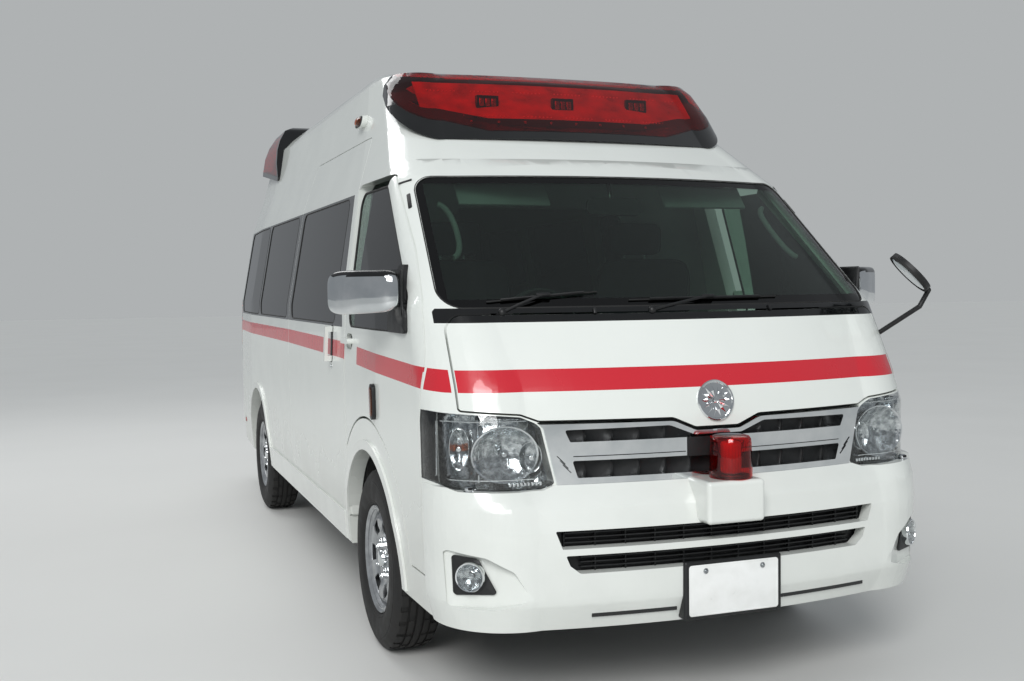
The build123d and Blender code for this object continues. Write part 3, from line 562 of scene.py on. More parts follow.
def plain_finish(name):
    """Finish from its row of the table."""
    light, dark, metal, low, high, blotch, grain, height, coat, pattern = PLAIN[name]
    material, tree, place = begin(name)
    cloud = add(tree, "TexNoise", {"Vector": place, "Scale": 1000 / blotch, "Detail": 4.0})
    tone = add(tree, "MapRange", (cloud, 0.35, 0.65))
    base = add(tree, "Mix", {0: tone, 6: colour(dark), 7: colour(light)}, data_type="RGBA").outputs[2]
    rough = add(tree, "MapRange", (cloud, *SPREAD, low, high))
    if pattern == "WEAVE":
        slanted = add(tree, "Mapping", {0: place, 2: (0.6, 0.0, 0.0)})
        threads = [add(tree, "TexWave", {"Vector": slanted, "Scale": 1000 / grain / 6.28},
                       bands_direction=way).outputs["Fac"] for way in "XZ"]
        fine = add(tree, "Math", threads, operation="MULTIPLY")
        base = add(tree, "Mix", {0: fine, 6: base, 7: colour(light)}, data_type="RGBA").outputs[2]
    elif pattern == "VORONOI":
        fine = add(tree, "TexVoronoi", {"Vector": place, "Scale": 1000 / grain})
    else:
        fine = add(tree, "TexNoise", {"Vector": place, "Scale": 1000 / grain, "Detail": 2.0})
    values = {"Base Color": base, "Metallic": float(metal), "Roughness": rough, "Coat Weight": float(coat),
              "Coat Roughness": COAT_ROUGHNESS}
    if height:
        values["Normal"] = add(tree, "Bump", {"Strength": 1.0, "Distance": height / 1000, "Height": fine})
    add(tree, "OutputMaterial", (add(tree, "BsdfPrincipled", values),))
    return material


# The red band, in metres: the stretch of Y over the nose with the height of its middle line at
# both ends, then each stretch of the side with the height that it climbs there.
BAND_ON_NOSE = (-2.44, -2.30, 1.092, 1.100)
BAND_CLIMBS = ((-2.30, -1.19, 0.039), (-1.19, 0.19, 0.010))
# Where the band is cut, at the nose lid's edge, at the cab corner and at the door handle: the line
# it is measured on, middle and half width there, and on which other line it counts and from where.
BAND_GAPS = (("side", 0.845, 0.008, "y", -2.40, "LESS_THAN"),
             ("y", -2.341, 0.008, "side", 0.8, "GREATER_THAN"),
             ("y", -1.3575, 0.1175, "side", 0.7, "GREATER_THAN"))
# Middle and half width of the black enamel between the side windows, on each line, and the slope
# and place of its leaning front edge.
BLACK_BOX = (("z", 1.515, 0.281), ("y", 0.6, 1.86), ("side", 0.9, 0.2))
BLACK_LEAN, BLACK_FRONT = -0.19, -1.4176
# The black cowl below the windscreen: middle and half width of its height, and its other limits.
COWL_Z, COWL_HALF, COWL_BACK, COWL_END = 1.3, 0.024, -2.30, 0.868
# How outwards is told from inwards: the share of X and of Y in the way to a panel.
OUTWARDS = (1.0, 0.36, 0.0)
# Road dust: from full at the lower height to none at the upper one, and its share at full.
DUST_LOW, DUST_HIGH, DUST_SHARE = 0.30, 0.85, 0.42
# Roughness of the enamel from and to, what dust and film add to it, and the size and height of the
# sprayed coat's ripple in mm, drawn coarser than the real one so that it shows.
ENAMEL_ROUGHNESS = (0.14, 0.20)
DUST_ROUGHNESS, FILM_ROUGHNESS = 1.2, 0.10
PEEL_SIZE, PEEL_HEIGHT = 9, 0.02


def coach_paint(name):
    """White coach enamel with the red band, the black between the side windows and road dust."""
    # Two-pack white under clear lacquer: even, glossy, very slightly rippled. The red is adhesive
    # reflective film, a little rougher; the black is glazing enamel, smooth as glass.
    looks = bpy.context.scene.ambulance_finish
    material, tree, place = begin(name)
    x, y, z = add(tree, "SeparateXYZ", (place,)).outputs
    side = add(tree, "Math", (x,), operation="ABSOLUTE").outputs[0]
    lines = {"side": side, "y": y, "z": z}
    middle = add(tree, "MapRange", (y, *BAND_ON_NOSE))
    for start, end, rise in BAND_CLIMBS:
        step = add(tree, "MapRange", (y, start, end, 0.0, rise))
        middle = add(tree, "Math", (middle, step), operation="ADD")
    red = add(tree, "Math", (z, middle, looks.band_height / 2), operation="COMPARE")
    for line, centre, half, other, limit, test in BAND_GAPS:
        gap = add(tree, "Math", (lines[line], centre, half), operation="COMPARE")
        here = add(tree, "Math", (lines[other], limit), operation=test)
        gap = add(tree, "Math", (gap, here), operation="MULTIPLY")
        red = add(tree, "Math", (red, gap), operation="SUBTRACT", use_clamp=True)
    lean = add(tree, "Math", (z, BLACK_LEAN, y), operation="MULTIPLY_ADD")
    black = add(tree, "Math", (lean, BLACK_FRONT), operation="GREATER_THAN")
    for line, centre, half in BLACK_BOX:
        part = add(tree, "Math", (lines[line], centre, half), operation="COMPARE")
        black = add(tree, "Math", (black, part), operation="MULTIPLY")
    cowl = add(tree, "Math", (z, COWL_Z, COWL_HALF), operation="COMPARE")
    for line, limit in ((y, COWL_BACK), (side, COWL_END)):
        part = add(tree, "Math", (line, limit), operation="LESS_THAN")
        cowl = add(tree, "Math", (cowl, part), operation="MULTIPLY")
    black = add(tree, "Math", (black, cowl), operation="MAXIMUM")
    # The film and the enamel are only on the outside, so faces that look inwards stay white.
    looks_to = add(tree, "TexCoord").outputs["Normal"]
    away = add(tree, "VectorMath", (place, OUTWARDS), operation="MULTIPLY")
    outwards = add(tree, "VectorMath", (looks_to, away), operation="DOT_PRODUCT").outputs["Value"]
    outwards = add(tree, "Math", (outwards, 0.0), operation="GREATER_THAN")
    red, black = [add(tree, "Math", (mask, outwards), operation="MULTIPLY") for mask in (red, black)]
    cloud = add(tree, "TexNoise", {"Vector": place, "Scale": 3.2, "Detail": 5.0})
    low = add(tree, "MapRange", (z, DUST_LOW, DUST_HIGH, DUST_SHARE, 0.0))
    dust = add(tree, "Math", (low, cloud), operation="MULTIPLY")
    base = (*looks.paint, 1)
    for share, tone in ((cloud, colour("E3E6E1")), (dust, colour("8D877B")), (red, (*looks.band, 1)),
                        (black, colour("070809"))):
        base = add(tree, "Mix", {0: share, 6: base, 7: tone}, data_type="RGBA").outputs[2]
    rough = add(tree, "MapRange", (cloud, *SPREAD, *ENAMEL_ROUGHNESS))
    for share, more in ((dust, DUST_ROUGHNESS), (red, FILM_ROUGHNESS)):
        rough = add(tree, "Math", (share, more, rough), operation="MULTIPLY_ADD")
    peel = add(tree, "TexNoise", {"Vector": place, "Scale": 1000 / PEEL_SIZE, "Detail": 1.0})
    bump = add(tree, "Bump", {"Strength": 1.0, "Distance": PEEL_HEIGHT / 1000, "Height": peel})
    shader = add(tree, "BsdfPrincipled", {"Base Color": base, "Roughness": rough, "Normal": bump,
                                          "Coat Weight": 0.5, "Coat Roughness": COAT_ROUGHNESS})
    add(tree, "OutputMaterial", (shader,))
    return material


# Tint of one face of the sheet, its gloss, and how far the tint shifts over the sheet.
CLEAR = {
    # Laminated windscreen: pale green, clean reflection.
    "green_laminated_glass": ("C9D9D0", 0.0, 0.03),
    # Privacy glass: smoked almost black, so the panels behind it barely show.
    "smoked_privacy_glass": ("2A3032", 0.0, 0.05),
    # Polycarbonate headlamp cover: water clear with a hard gloss.
    "clear_polycarbonate": ("FAFBFB", 0.0, 0.02),
    # Red acrylic: deep signal red, lit from inside by what shows through.
    "red_acrylic": ("E0201C", 0.02, 0.10),
    # Lamp dome: brighter red, since light crosses its wall twice.
    "bright_red_acrylic": ("F8584E", 0.02, 0.06),
    # Amber acrylic of the indicators.
    "amber_acrylic": ("F7A63A", 0.02, 0.08),
}
# Share of light that a sheet reflects when seen squarely, and how fast it rises towards its edge.
SHEET_SHINE, SHEET_RISE = 0.045, 5.0


def clear_finish(name):
    """See-through sheet: a tinted film that reflects more the flatter it is seen."""
    tint, gloss, drift = CLEAR[name]
    material, tree, place = begin(name)
    cloud = add(tree, "TexNoise", {"Vector": place, "Scale": 2.0, "Detail": 2.0})
    shade = add(tree, "MapRange", (cloud, *SPREAD, 1 - drift, 1.0))
    film = add(tree, "Mix", {0: shade, 6: (0, 0, 0, 1), 7: colour(tint)}, data_type="RGBA").outputs[2]
    flat = add(tree, "LayerWeight", {"Blend": 0.5}).outputs["Facing"]
    rise = add(tree, "Math", (flat, SHEET_RISE), operation="POWER")
    share = add(tree, "MapRange", (rise, 0.0, 1.0, SHEET_SHINE, 1.0))
    if name == "green_laminated_glass":
        film = frit(tree, place, film)
    through = add(tree, "BsdfTransparent", (film,))
    shine = add(tree, "BsdfAnisotropic", {"Color": (0.95, 0.95, 0.95, 1), "Roughness": gloss + 0.005})
    add(tree, "OutputMaterial", (add(tree, "MixShader", (share, through, shine)),))
    return material


# The clear field of the windscreen: its lowest and highest line, and its half width, which narrows
# from one height to another. The border counts only ahead of the last value.
FIELD_LOW, FIELD_HIGH = 1.352, 1.782
FIELD_SIDE = (1.322, 1.808, 0.817, 0.752)
SCREEN_BACK = -1.4


def frit(tree, place, film):
    """Black enamel border fired on to the windscreen's edge."""
    x, y, z = add(tree, "SeparateXYZ", (place,)).outputs
    side = add(tree, "Math", (x,), operation="ABSOLUTE")
    edge = add(tree, "MapRange", (z, *FIELD_SIDE))
    rim = add(tree, "Math", (side, edge), operation="GREATER_THAN")
    for limit, test in ((FIELD_LOW, "LESS_THAN"), (FIELD_HIGH, "GREATER_THAN")):
        beyond = add(tree, "Math", (z, limit), operation=test)
        rim = add(tree, "Math", (rim, beyond), operation="MAXIMUM")
    ahead = add(tree, "Math", (y, SCREEN_BACK), operation="LESS_THAN")
    rim = add(tree, "Math", (rim, ahead), operation="MULTIPLY")
    return add(tree, "Mix", {0: rim, 6: film, 7: (0.0, 0.0, 0.0, 1)}, data_type="RGBA").outputs[2]


SPECIAL = {"gloss_white_coach_paint": coach_paint}
MADE = {}


def finish_named(name):
    """Material of that name, made once."""
    if name not in MADE:
        maker = SPECIAL.get(name) or (clear_finish if name in CLEAR else plain_finish)
        MADE[name] = maker(name)
    return MADE[name]


# Settings


class AmbulanceFinish(bpy.types.PropertyGroup):
    """Colours and sizes of the finishes."""

    paint: bpy.props.FloatVectorProperty(name="Paint", description="White of the bodywork", subtype="COLOR",
                                         default=colour("DBDFDA")[:3], min=0, max=1)
    band: bpy.props.FloatVectorProperty(name="Band", description="Red of the reflective band",
                                        subtype="COLOR", default=colour("C4202E")[:3], min=0, max=1)
    band_height: bpy.props.FloatProperty(name="Band height", description="Height of the red band",
                                         default=0.070, unit="LENGTH")
    tread_depth: bpy.props.FloatProperty(name="Tread depth", description="Depth of the tyre grooves",
                                         default=0.007, unit="LENGTH")
    floor: bpy.props.FloatVectorProperty(name="Floor", description="Colour of the studio floor",
                                         subtype="COLOR", default=colour("D9D9D6")[:3], min=0, max=1)


# Bodywork and glass


# Sides of the grids that cut the sheets, in metres, chosen so that no plane lies on a seam.
PANEL_CELL = (0.08, 0.10, 0.0443)
BUMPER_CELL = (0.06, 0.06, 0.03)
PANE_CELL = (0.08, 0.08, 0.05)
LAMP_CELL = (0.03, 0.03, 0.03)
GRILLE_CELL = (0.05, 0.03, 0.02)
BAR_CELL = (0.05, 0.04, 0.03)

PAINTED = {
    "side_panel_left": "body", "side_panel_right": "body", "high_roof": "body", "cab_front": "body",
    "sliding_door_left": "body", "sliding_door_right": "body", "door_left": "cab_door_left",
    "door_right": "cab_door_right", "tailgate": "back_door", "bonnet": "nose_lid",
}


class AMBULANCE_OT_bodywork(bpy.types.Operator):
    """Painted panels, with their shading evened out"""

    bl_idname = "ambulance.bodywork"
    bl_label = "Bodywork"

    def execute(self, context):
        for node, body in PAINTED.items():
            bm = divided(copy_of(node), PANEL_CELL)
            piece(node + "_painted", bm, "gloss_white_coach_paint", body, (node,), 34, 4)
        for node in ("front_bumper", "rear_bumper", "beacon_pod", "side_trim"):
            bm = divided(copy_of(node), BUMPER_CELL)
            piece(node + "_painted", bm, "painted_bumper_plastic", "body", (node,), 38, 3)
        return {"FINISHED"}


# Each pane's body, finish and slot, the way it faces on the left, and the radius of its seal.
PANES = {
    "windscreen": ("body", "green_laminated_glass", "glass", (0, -1, 0.3), 0.0045),
    "door_glass_left": ("cab_door_left", "green_laminated_glass", "glass", (1, 0, 0), 0.005),
    "door_glass_right": ("cab_door_right", "green_laminated_glass", "glass", (1, 0, 0), 0.005),
    "side_glass": ("body", "smoked_privacy_glass", "dark_glass", (1, 0, 0), 0.004),
    "tailgate_glass": ("back_door", "smoked_privacy_glass", "dark_glass", (0, 1, 0), 0.006),
}


class AMBULANCE_OT_glazing(bpy.types.Operator):
    """Window panes"""

    bl_idname = "ambulance.glazing"
    bl_label = "Glazing"

    def execute(self, context):
        for node, (body, finish, slot, _, _) in PANES.items():
            piece(node + "_pane", divided(copy_of(node), PANE_CELL), finish, body, (node,), 34, 4)
        return {"FINISHED"}


# CAD nodes of each finish. Those that a piece stands for are listed too, for their own mesh.
CARRIED = {
    "bright_chrome_plate": ("grille", "mirror_left", "mirror_right", "badge_disc"),
    "grained_black_abs": ("front_trim", "look_down_mirror", "wipers", "steering_wheel"),
    "gloss_black_acrylic": ("light_bar_bases",),
    "satin_chassis_black": ("floor_pan", "chassis_frame", "driveline", "rear_axle", "leaf_springs",
                            "front_suspension"),
    "sand_cast_iron": ("engine", "knuckle_left", "knuckle_right"),
    "galvanised_sheet": ("fuel_tank", "exhaust"),
    "grained_grey_polypropylene": ("dashboard", "steering_column"),
    "grained_pale_trim": ("partition",),
    "pale_melamine_board": ("stretcher_deck", "cabinet"),
    "red_acrylic": ("front_beacon", "light_bar_front", "light_bar_rear", "tail_lamps"),
    "clear_polycarbonate": ("front_lamps",),
    "woven_seat_cloth": ("cab_seats",),
    "pebbled_grey_vinyl": ("attendant_bench",),
    "vulcanised_tyre_rubber": [node for node in NODES if node.startswith("tyre")],
    "silver_wheel_enamel": [node for node in NODES if node.startswith("rim")],
}


class AMBULANCE_OT_carried(bpy.types.Operator):
    """Finishes of the CAD pieces that show as they are"""

    bl_idname = "ambulance.carried"
    bl_label = "Plain pieces"

    def execute(self, context):
        for finish, nodes in CARRIED.items():
            for node in nodes:
                materials = NODES[node].data.materials
                materials.clear()
                materials.append(finish_named(finish))
        return {"FINISHED"}


# Lamps, grille and bumpers


LAMP_OUT = (0.5, -0.86, 0)
COVER_WALL = 0.003
# Reflector bowls of the left lamp: X and Z, radius, stretch across and up, depth, distance behind
# the cover, lean outwards, and finish of the bulb.
LAMP_BOWLS = ((712, 862, 0.100, 1.04, 0.86, 0.040, 0.014, 0.12, 3),
              (628, 850, 0.036, 1, 1.3, 0.020, 0.014, 0.12, 3),
              (842, 880, 0.034, 0.9, 1.9, 0.024, 0.020, 0.45, 2))
# Chrome ribs of the left lamp: both ends, steps of the line, distance behind the cover, depth and
# thickness.
LAMP_RIBS = (((795, 0, 775), (795, 0, 975), 2, 0.006, 0.045, 0.004),
             ((900, 0, 790), (900, 0, 965), 2, 0.006, 0.045, 0.004),
             ((640, 0, 966), (890, 0, 966), 8, 0.008, 0.030, 0.003),
             ((610, 0, 780), (870, 0, 780), 8, 0.008, 0.030, 0.003))


class AMBULANCE_OT_headlamps(bpy.types.Operator):
    """Headlamps: clear covers, trays, bowls, bulbs and indicators"""

    bl_idname = "ambulance.headlamps"
    bl_label = "Headlamps"

    def execute(self, context):
        node = "front_lamps"
        cover = walled(divided(outer_skin(node, LAMP_OUT), LAMP_CELL), COVER_WALL)
        piece("headlamp_covers", cover, "clear_polycarbonate", "body", (node,), 40, 3)
        tray = tray_of(node, LAMP_OUT)
        piece("headlamp_trays", tray, "aluminised_reflector", "body", (node,), 30)
        inside = bmesh.new()
        for x, z, radius, wide, tall, deep, inward, lean, bulb in LAMP_BOWLS:
            point, _ = spot(node, (x, 0, z), BACK)
            place = facing(point + Vector((0, inward, 0)), (lean, -1, 0))
            outer = radius * 1.06
            ring = [(radius, -0.001), (outer, 0.0), (outer, -0.004), (radius, -0.004), (radius, -0.001)]
            put(inside, bowl(radius, deep, 34, 7), place @ stretch(wide, tall, 1), 0)
            put(inside, turned(ring, 40), place @ stretch(wide, tall, 1), 1)
            put(inside, dome(0.011, 0.020), place @ shift(0, 0, -deep * 0.9), bulb)
            put(inside, rod(0.008, 0.012, 0.002), place @ shift(0, 0, -deep * 0.95 + 0.02), 1)
        for start, end, steps, inward, depth, thickness in LAMP_RIBS:
            points = line_on(node, start, end, steps, BACK, (0, inward, 0))
            put(inside, strip(points, (0, depth, 0), thickness), None, 1)
        for point in line_on(node, (600, 0, 767), (700, 0, 767), 8, BACK, (0, 0.007, 0)):
            put(inside, block((0.009, 0.008, 0.012), 0.002), shift(*point), 1)
        piece("headlamp_bowls", mirrored(inside),
              ["aluminised_reflector", "bright_chrome_plate", "amber_acrylic", "clear_polycarbonate"],
              "body", (node,), 6)
        return {"FINISHED"}


class AMBULANCE_OT_grille(bpy.types.Operator):
    """Chrome grille, rosette on the nose lid and the dark trim behind"""

    bl_idname = "ambulance.grille"
    bl_label = "Grille and rosette"

    def execute(self, context):
        node = "grille"
        bm = divided(copy_of(node), GRILLE_CELL)
        piece("grille_frame", bm, "bright_chrome_plate", "body", (node,), 30, 2)
        lines = bmesh.new()
        for start, end in ((-500, -120), (92, 500)):
            put(lines, tube(line_on(node, (start, 0, 851), (end, 0, 851), 12, BACK), 0.0016))
        # Three slanted strokes at each end of the grille, the next one 9 mm out and 14 mm up.
        for side in (LEFT, RIGHT):
            for k in range(3):
                out, low = 512 + 9 * k, 800 + 14 * k
                first, last = line_on(node, (side * (out - 4), 0, low), (side * (out + 22), 0, low + 26), 1,
                                      BACK, (0, -0.001, 0))
                put(lines, tube([first, (first + last) / 2, last], 0.0015))
        piece("grille_dark_lines", lines, "gloss_black_acrylic", "body")
        middle = walled(draped(node, (-114, -32), (838, 897), BACK, -3, 6, 4), 0.003)
        piece("grille_centre_block", middle, "grained_black_abs", "body")
        rosette()
        front_trim()
        return {"FINISHED"}


def rosette():
    """Round chrome ornament with 14 petals on the nose lid."""
    place = tap("badge_disc", (0, 0, 1013), BACK)
    bm = bmesh.new()
    dish = [(0, -0.006), (0.058, -0.006), (0.061, -0.001), (0.065, 0.0), (0.068, -0.003), (0.068, -0.008),
            (0, -0.008)]
    put(bm, turned(dish, 64), place)
    for k in range(14):
        petal = bmesh.new()
        bmesh.ops.create_cone(petal, cap_ends=True, segments=4, radius1=1, radius2=0.0, depth=1)
        laid = turn("Z", 360 * k / 14) @ shift(0.032, 0, -0.0035) @ stretch(0.025, 0.0078, 0.007)
        put(bm, petal, place @ laid)
    put(bm, dome(0.010, 0.006), place @ shift(0, 0, -0.004))
    piece("nose_rosette", bm, "bright_chrome_plate", "nose_lid", ("badge_disc",), 20)


# Left fog lamp: the place of its middle, and the way it faces.
FOG_CENTRE = mm(824.4, -2617.3, 488)
FOG_OUT = Vector((0.55, -0.835, 0))


def front_trim():
    """Dark trim of the nose, and the fog lamps in it."""
    def kept(face):
        middle = face.calc_center_median()
        away = Vector((abs(middle.x), middle.y, middle.z)) - FOG_CENTRE
        return away.dot(FOG_OUT) < 0.008 or away.length > 0.1

    names = ("front_trim",)
    bm = only(copy_of(*names), kept)
    piece("dark_front_trim", bm, "grained_black_abs", "body", names, 35)
    place = facing(FOG_CENTRE, FOG_OUT)
    ring = [(0.040, 0.024), (0.042, 0.030), (0.046, 0.031), (0.048, 0.026), (0.047, 0.006), (0.041, 0.006),
            (0.040, 0.024)]
    lamp = bmesh.new()
    put(lamp, bowl(0.041, 0.020, 26, 5, 0.006), place @ shift(0, 0, 0.026), 0)
    put(lamp, turned(ring), place, 1)
    put(lamp, dome(0.010, 0.012), place @ shift(0, 0, 0.012), 1)
    put(lamp, dome(0.0405, 0.007, 32), place @ shift(0, 0, 0.027), 2)
    piece("fog_lamps", mirrored(lamp), ["aluminised_reflector", "bright_chrome_plate", "clear_polycarbonate"],
          "body", names, 12)


def number_plate(name, place, body):
    """Bare number plate with its two bolts."""
    bm = bmesh.new()
    put(bm, plate(oval(PLATE_WIDE, PLATE_TALL, 0.010), 0.0012, 0.0004), place, 0)
    put(bm, bead(PLATE_WIDE - 0.008, PLATE_TALL - 0.008, 0.008, 0.0009, 0.0012), place, 0)
    for x, y in PLATE_BOLTS:
        put(bm, rod(0.009, 0.003, 0.001, 20), place @ shift(x, y, 0.001), 1)
        put(bm, dome(0.0055, 0.004, 12, 3), place @ shift(x, y, 0.004), 1)
    piece(name, bm, ["white_plate_enamel", "zinc_plated_steel"], body, sharp=30)


PLATE_WIDE, PLATE_TALL = 0.330, 0.165
PLATE_BOLTS = ((-0.105, 0.062), (0.105, 0.062))
# The two slots of the front bumper, in metres: heights of their slats, half width, and the span of
# Z of the ribs behind.
SLOTS = (((0.586, 0.601, 0.616), 0.575, (0.573, 0.630)), ((0.508, 0.523, 0.538), 0.545, (0.494, 0.552)))


class AMBULANCE_OT_bumpers(bpy.types.Operator):
    """Slats behind the bumper slots, plates, washers and the dark lower slit"""

    bl_idname = "ambulance.bumpers"
    bl_label = "Bumper fittings"

    def execute(self, context):
        node = "front_bumper"
        line = line_on(node, (-600, 0, 655), (600, 0, 655), 24, BACK)
        slats = bmesh.new()
        for heights, half, (low, high) in SLOTS:
            for z in heights:
                points = [Vector((p.x, p.y + 0.022, z)) for p in line if abs(p.x) <= half]
                put(slats, strip(points, (0, 0.020, 0), 0.0035))
            for p in line[1:-1:2]:
                if abs(p.x) <= half:
                    rib = block((0.004, 0.016, high - low), 0.001)
                    put(slats, rib, shift(p.x, p.y + 0.036, (low + high) / 2))
        points = [Vector((p.x, p.y + 0.052, 0.480)) for p in line]
        put(slats, strip(points, (0, 0, 0.165), 0.004))
        piece("bumper_slats", slats, "grained_black_abs", "body", sharp=30)
        slit = bmesh.new()
        for start, end in ((-470, -185), (200, 560)):
            points = line_on(node, (start, 0, 356), (end, 0, 356), 10, BACK, (0, 0.001, -0.006))
            put(slit, strip(points, (0, 0, 0.012), 0.004))
        piece("bumper_lower_slit", slit, "gloss_black_acrylic", "body", sharp=30)
        number_plate("front_number_plate", facing(mm(8, -2803.4, 412.5), FRONT), "body")
        knob = [(0, 0.020), (0.010, 0.019), (0.014, 0.014), (0.014, 0.005), (0.018, 0.003), (0.018, 0)]
        washers = bmesh.new()
        for side in (LEFT, RIGHT):
            point, _ = spot(node, (side * 827, -2606, 700), DOWN)
            place = facing(point + Vector((0, 0, -0.002)), UP, BACK)
            put(washers, turned(knob, 24), place, 0)
            put(washers, block((0.014, 0.012, 0.009), 0.002), place @ shift(0, -0.010, 0.013), 1)
        piece("lamp_washers", washers, ["bright_chrome_plate", "grained_black_abs"], "body",
              sharp=35)
        return {"FINISHED"}


# Light bars, in millimetres: node, way that a look at it takes, span of X and of Z of the bright
# panel, half width and span of Z of the dark panel below, depth of the bright one behind the lens,
# places of the flasher units, heights of the rows of small lamps, and the span of X of the rows.
LIGHT_BARS = (
    ("light_bar_front", BACK, (-630, 630), (2092, 2264), 490, (2056, 2088), 58,
     ((-345, 2166), (-14, 2163), (351, 2178)), (2223, 2102), (-580, 600)),
    ("light_bar_rear", FRONT, (-600, 600), (2292, 2420), 640, (2252, 2288), 50,
     ((-330, 2350), (0, 2350), (330, 2350)), (2405, 2305), (-560, 560)),
)
# Wall of the round lamp's dome, outside and inside, as radius and height in metres.
BEACON_WALL = ((0, 0.1367), (0.050, 0.1367), (0.059, 0.1340), (0.0645, 0.1260), (0.0665, 0.1150),
               (0.0700, 0.0060), (0.0700, 0), (0.0665, 0), (0.0665, 0.0060), (0.0632, 0.1140),
               (0.0610, 0.1240), (0.0570, 0.1300), (0.0490, 0.1330), (0, 0.1330))
BEACON_RIBS = 40
# Small lamps of the light bars: their spacing in millimetres, and how many of each 11 places they fill.
LED_STEP = 17
LED_GROUP, LED_LIT = 11, 8
# The black tub behind a light bar's lens: its size next to the lens along each axis.
TUB_SIZE = (0.985, 0.97, 0.97)


class AMBULANCE_OT_beacons(bpy.types.Operator):
    """Front round lamp and the two roof light bars"""

    bl_idname = "ambulance.beacons"
    bl_label = "Warning lamps"

    def execute(self, context):
        round_lamp()
        for row in LIGHT_BARS:
            light_bar(*row)
        return {"FINISHED"}


def round_lamp():
    """Red dome over a turning mirror, on the bumper's pod."""
    place = at(8, -2785, 768.3)
    shell = bmesh.new()
    put(shell, turned(BEACON_WALL, 64), place)
    piece("nose_beacon_lens", shell, "bright_red_acrylic", "body", ("front_beacon",), 30)
    inside = bmesh.new()
    put(inside, rod(0.061, 0.010, 0.002, 48), place, 0)
    mirror = turned([(0.050 * math.sqrt(k / 6), 0.020 + 0.016 * k) for k in range(7)], 32, math.pi)
    put(inside, walled(mirror, 0.001), place, 1)
    put(inside, rod(0.009, 0.075, 0.003), place @ shift(0, 0, 0.01), 2)
    put(inside, rod(0.034, 0.104, 0.010, 40), place @ shift(0, 0, 0.012), 4)
    for k in range(BEACON_RIBS):
        rib = place @ turn("Z", 360 * k / BEACON_RIBS) @ shift(0.0625, 0, 0.060)
        put(inside, block((0.0022, 0.0022, 0.100), 0.0006), rib, 3)
    piece("nose_beacon_core", inside,
          ["gloss_black_acrylic", "aluminised_reflector", "bright_chrome_plate", "bright_red_acrylic",
           "red_lamp_panel"], "body", ("front_beacon",), 30)


def light_bar(node, way, xs, zs, low_half, low, depth, units, rows, span):
    """Roof light bar: red lens, black tub behind it, and the panels and lamps inside."""
    names = (node,)
    lens = divided(copy_of(node), BAR_CELL)
    piece(node + "_lens", lens, "red_acrylic", "body", names, 40, 8)
    back = Vector(way)
    tub = flipped(only(copy_of(node), lambda f: f.normal.dot(back) > 0.35 or f.normal.z < -0.15))
    low_corner, high_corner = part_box(node)
    middle = (Vector(low_corner) + Vector(high_corner)) / 2
    bmesh.ops.scale(tub, vec=TUB_SIZE, verts=tub.verts, space=Matrix.Translation(-middle))
    piece(node + "_tub", walled(tub, 0.001), "gloss_black_acrylic", "body", names, 30)
    core = bmesh.new()
    put(core, walled(draped(node, xs, zs, way, depth), 0.004), None, 0)
    put(core, walled(draped(node, (-low_half, low_half), low, way, depth * 0.6, rows=3), 0.004), None, 1)
    for x, z in units:
        point = spot(node, (x, 0, z), way)[0] + back * (depth / 1000 - 0.010)
        put(core, block((0.100, 0.022, 0.060), 0.004), shift(*point), 1)
        for k in (-1, 0, 1):
            eye = point - back * 0.010 + Vector((0.027 * k, 0, 0))
            put(core, block((0.022, 0.010, 0.034), 0.003), shift(*eye), 2)
    for z in rows:
        for k in range(int((span[1] - span[0]) / LED_STEP)):
            if k % LED_GROUP < LED_LIT:
                point, _ = spot(node, (span[0] + LED_STEP * k, 0, z), way)
                put(core, dome(0.0042, 0.005, 8, 2), facing(point + back * (depth / 1000 - 0.002), -back), 3)
    for k in range(-4, 5):
        point, _ = spot(node, (low_half * k / 4.4, 0, low[0] + 14), way)
        put(core, rod(0.006, 0.004, 0.001, 12), facing(point + back * 0.030, -back), 2)
    piece(node + "_core", core,
          ["red_lamp_panel", "gloss_black_acrylic", "zinc_plated_steel", "white_plate_enamel"],
          "body", names, 30)


# Mirrors, wipers and side fittings


# The left mirror head seen from above, front and back, from its foot outwards, in millimetres.
HEAD_FRONT = [Vector(p) for p in ((928, -2222), (985, -2200), (1085, -2117), (1146, -1990))]
HEAD_BACK = [Vector(p) for p in ((928, -2083), (1000, -2040), (1070, -1998), (1130, -1963))]
HEAD_Z, HEAD_HALF = 1378, 79
# Power of the rounding of the head, and its lower edge's rise towards the foot.
HEAD_POWER, HEAD_RISE = 4.5, 0.10
# The bright shell covers what faces this way, up to a height in metres.
BRIGHT_WAY = Vector((0.7, -0.7, 0.1))
BRIGHT_TOP = 1.437
FOOT_END = 0.935
GLASS_OUT = Vector((-0.58, 1, 0))


class AMBULANCE_OT_mirrors(bpy.types.Operator):
    """Chrome door mirrors and the round look-down mirror"""

    bl_idname = "ambulance.mirrors"
    bl_label = "Mirrors"

    def execute(self, context):
        for side, tag in SIDES:
            name, door = f"mirror_{tag}", f"cab_door_{tag}"
            foot = copy_of(name)
            bmesh.ops.bisect_plane(foot, geom=geometry(foot), dist=MERGE, plane_co=(side * FOOT_END, 0, 0),
                                   plane_no=(side, 0, 0), clear_outer=True)
            bmesh.ops.holes_fill(foot, edges=[e for e in foot.edges if e.is_boundary], sides=0)
            piece(name + "_foot", foot, "grained_black_abs", door, (name,), 35)
            head = mirror_head()
            if side == RIGHT:
                other_side(head)
            finishes = ["bright_chrome_plate", "gloss_black_acrylic", "silvered_mirror_glass"]
            piece(name + "_head", head, finishes, door, (name,), 35)
        look_down_glass()
        return {"FINISHED"}


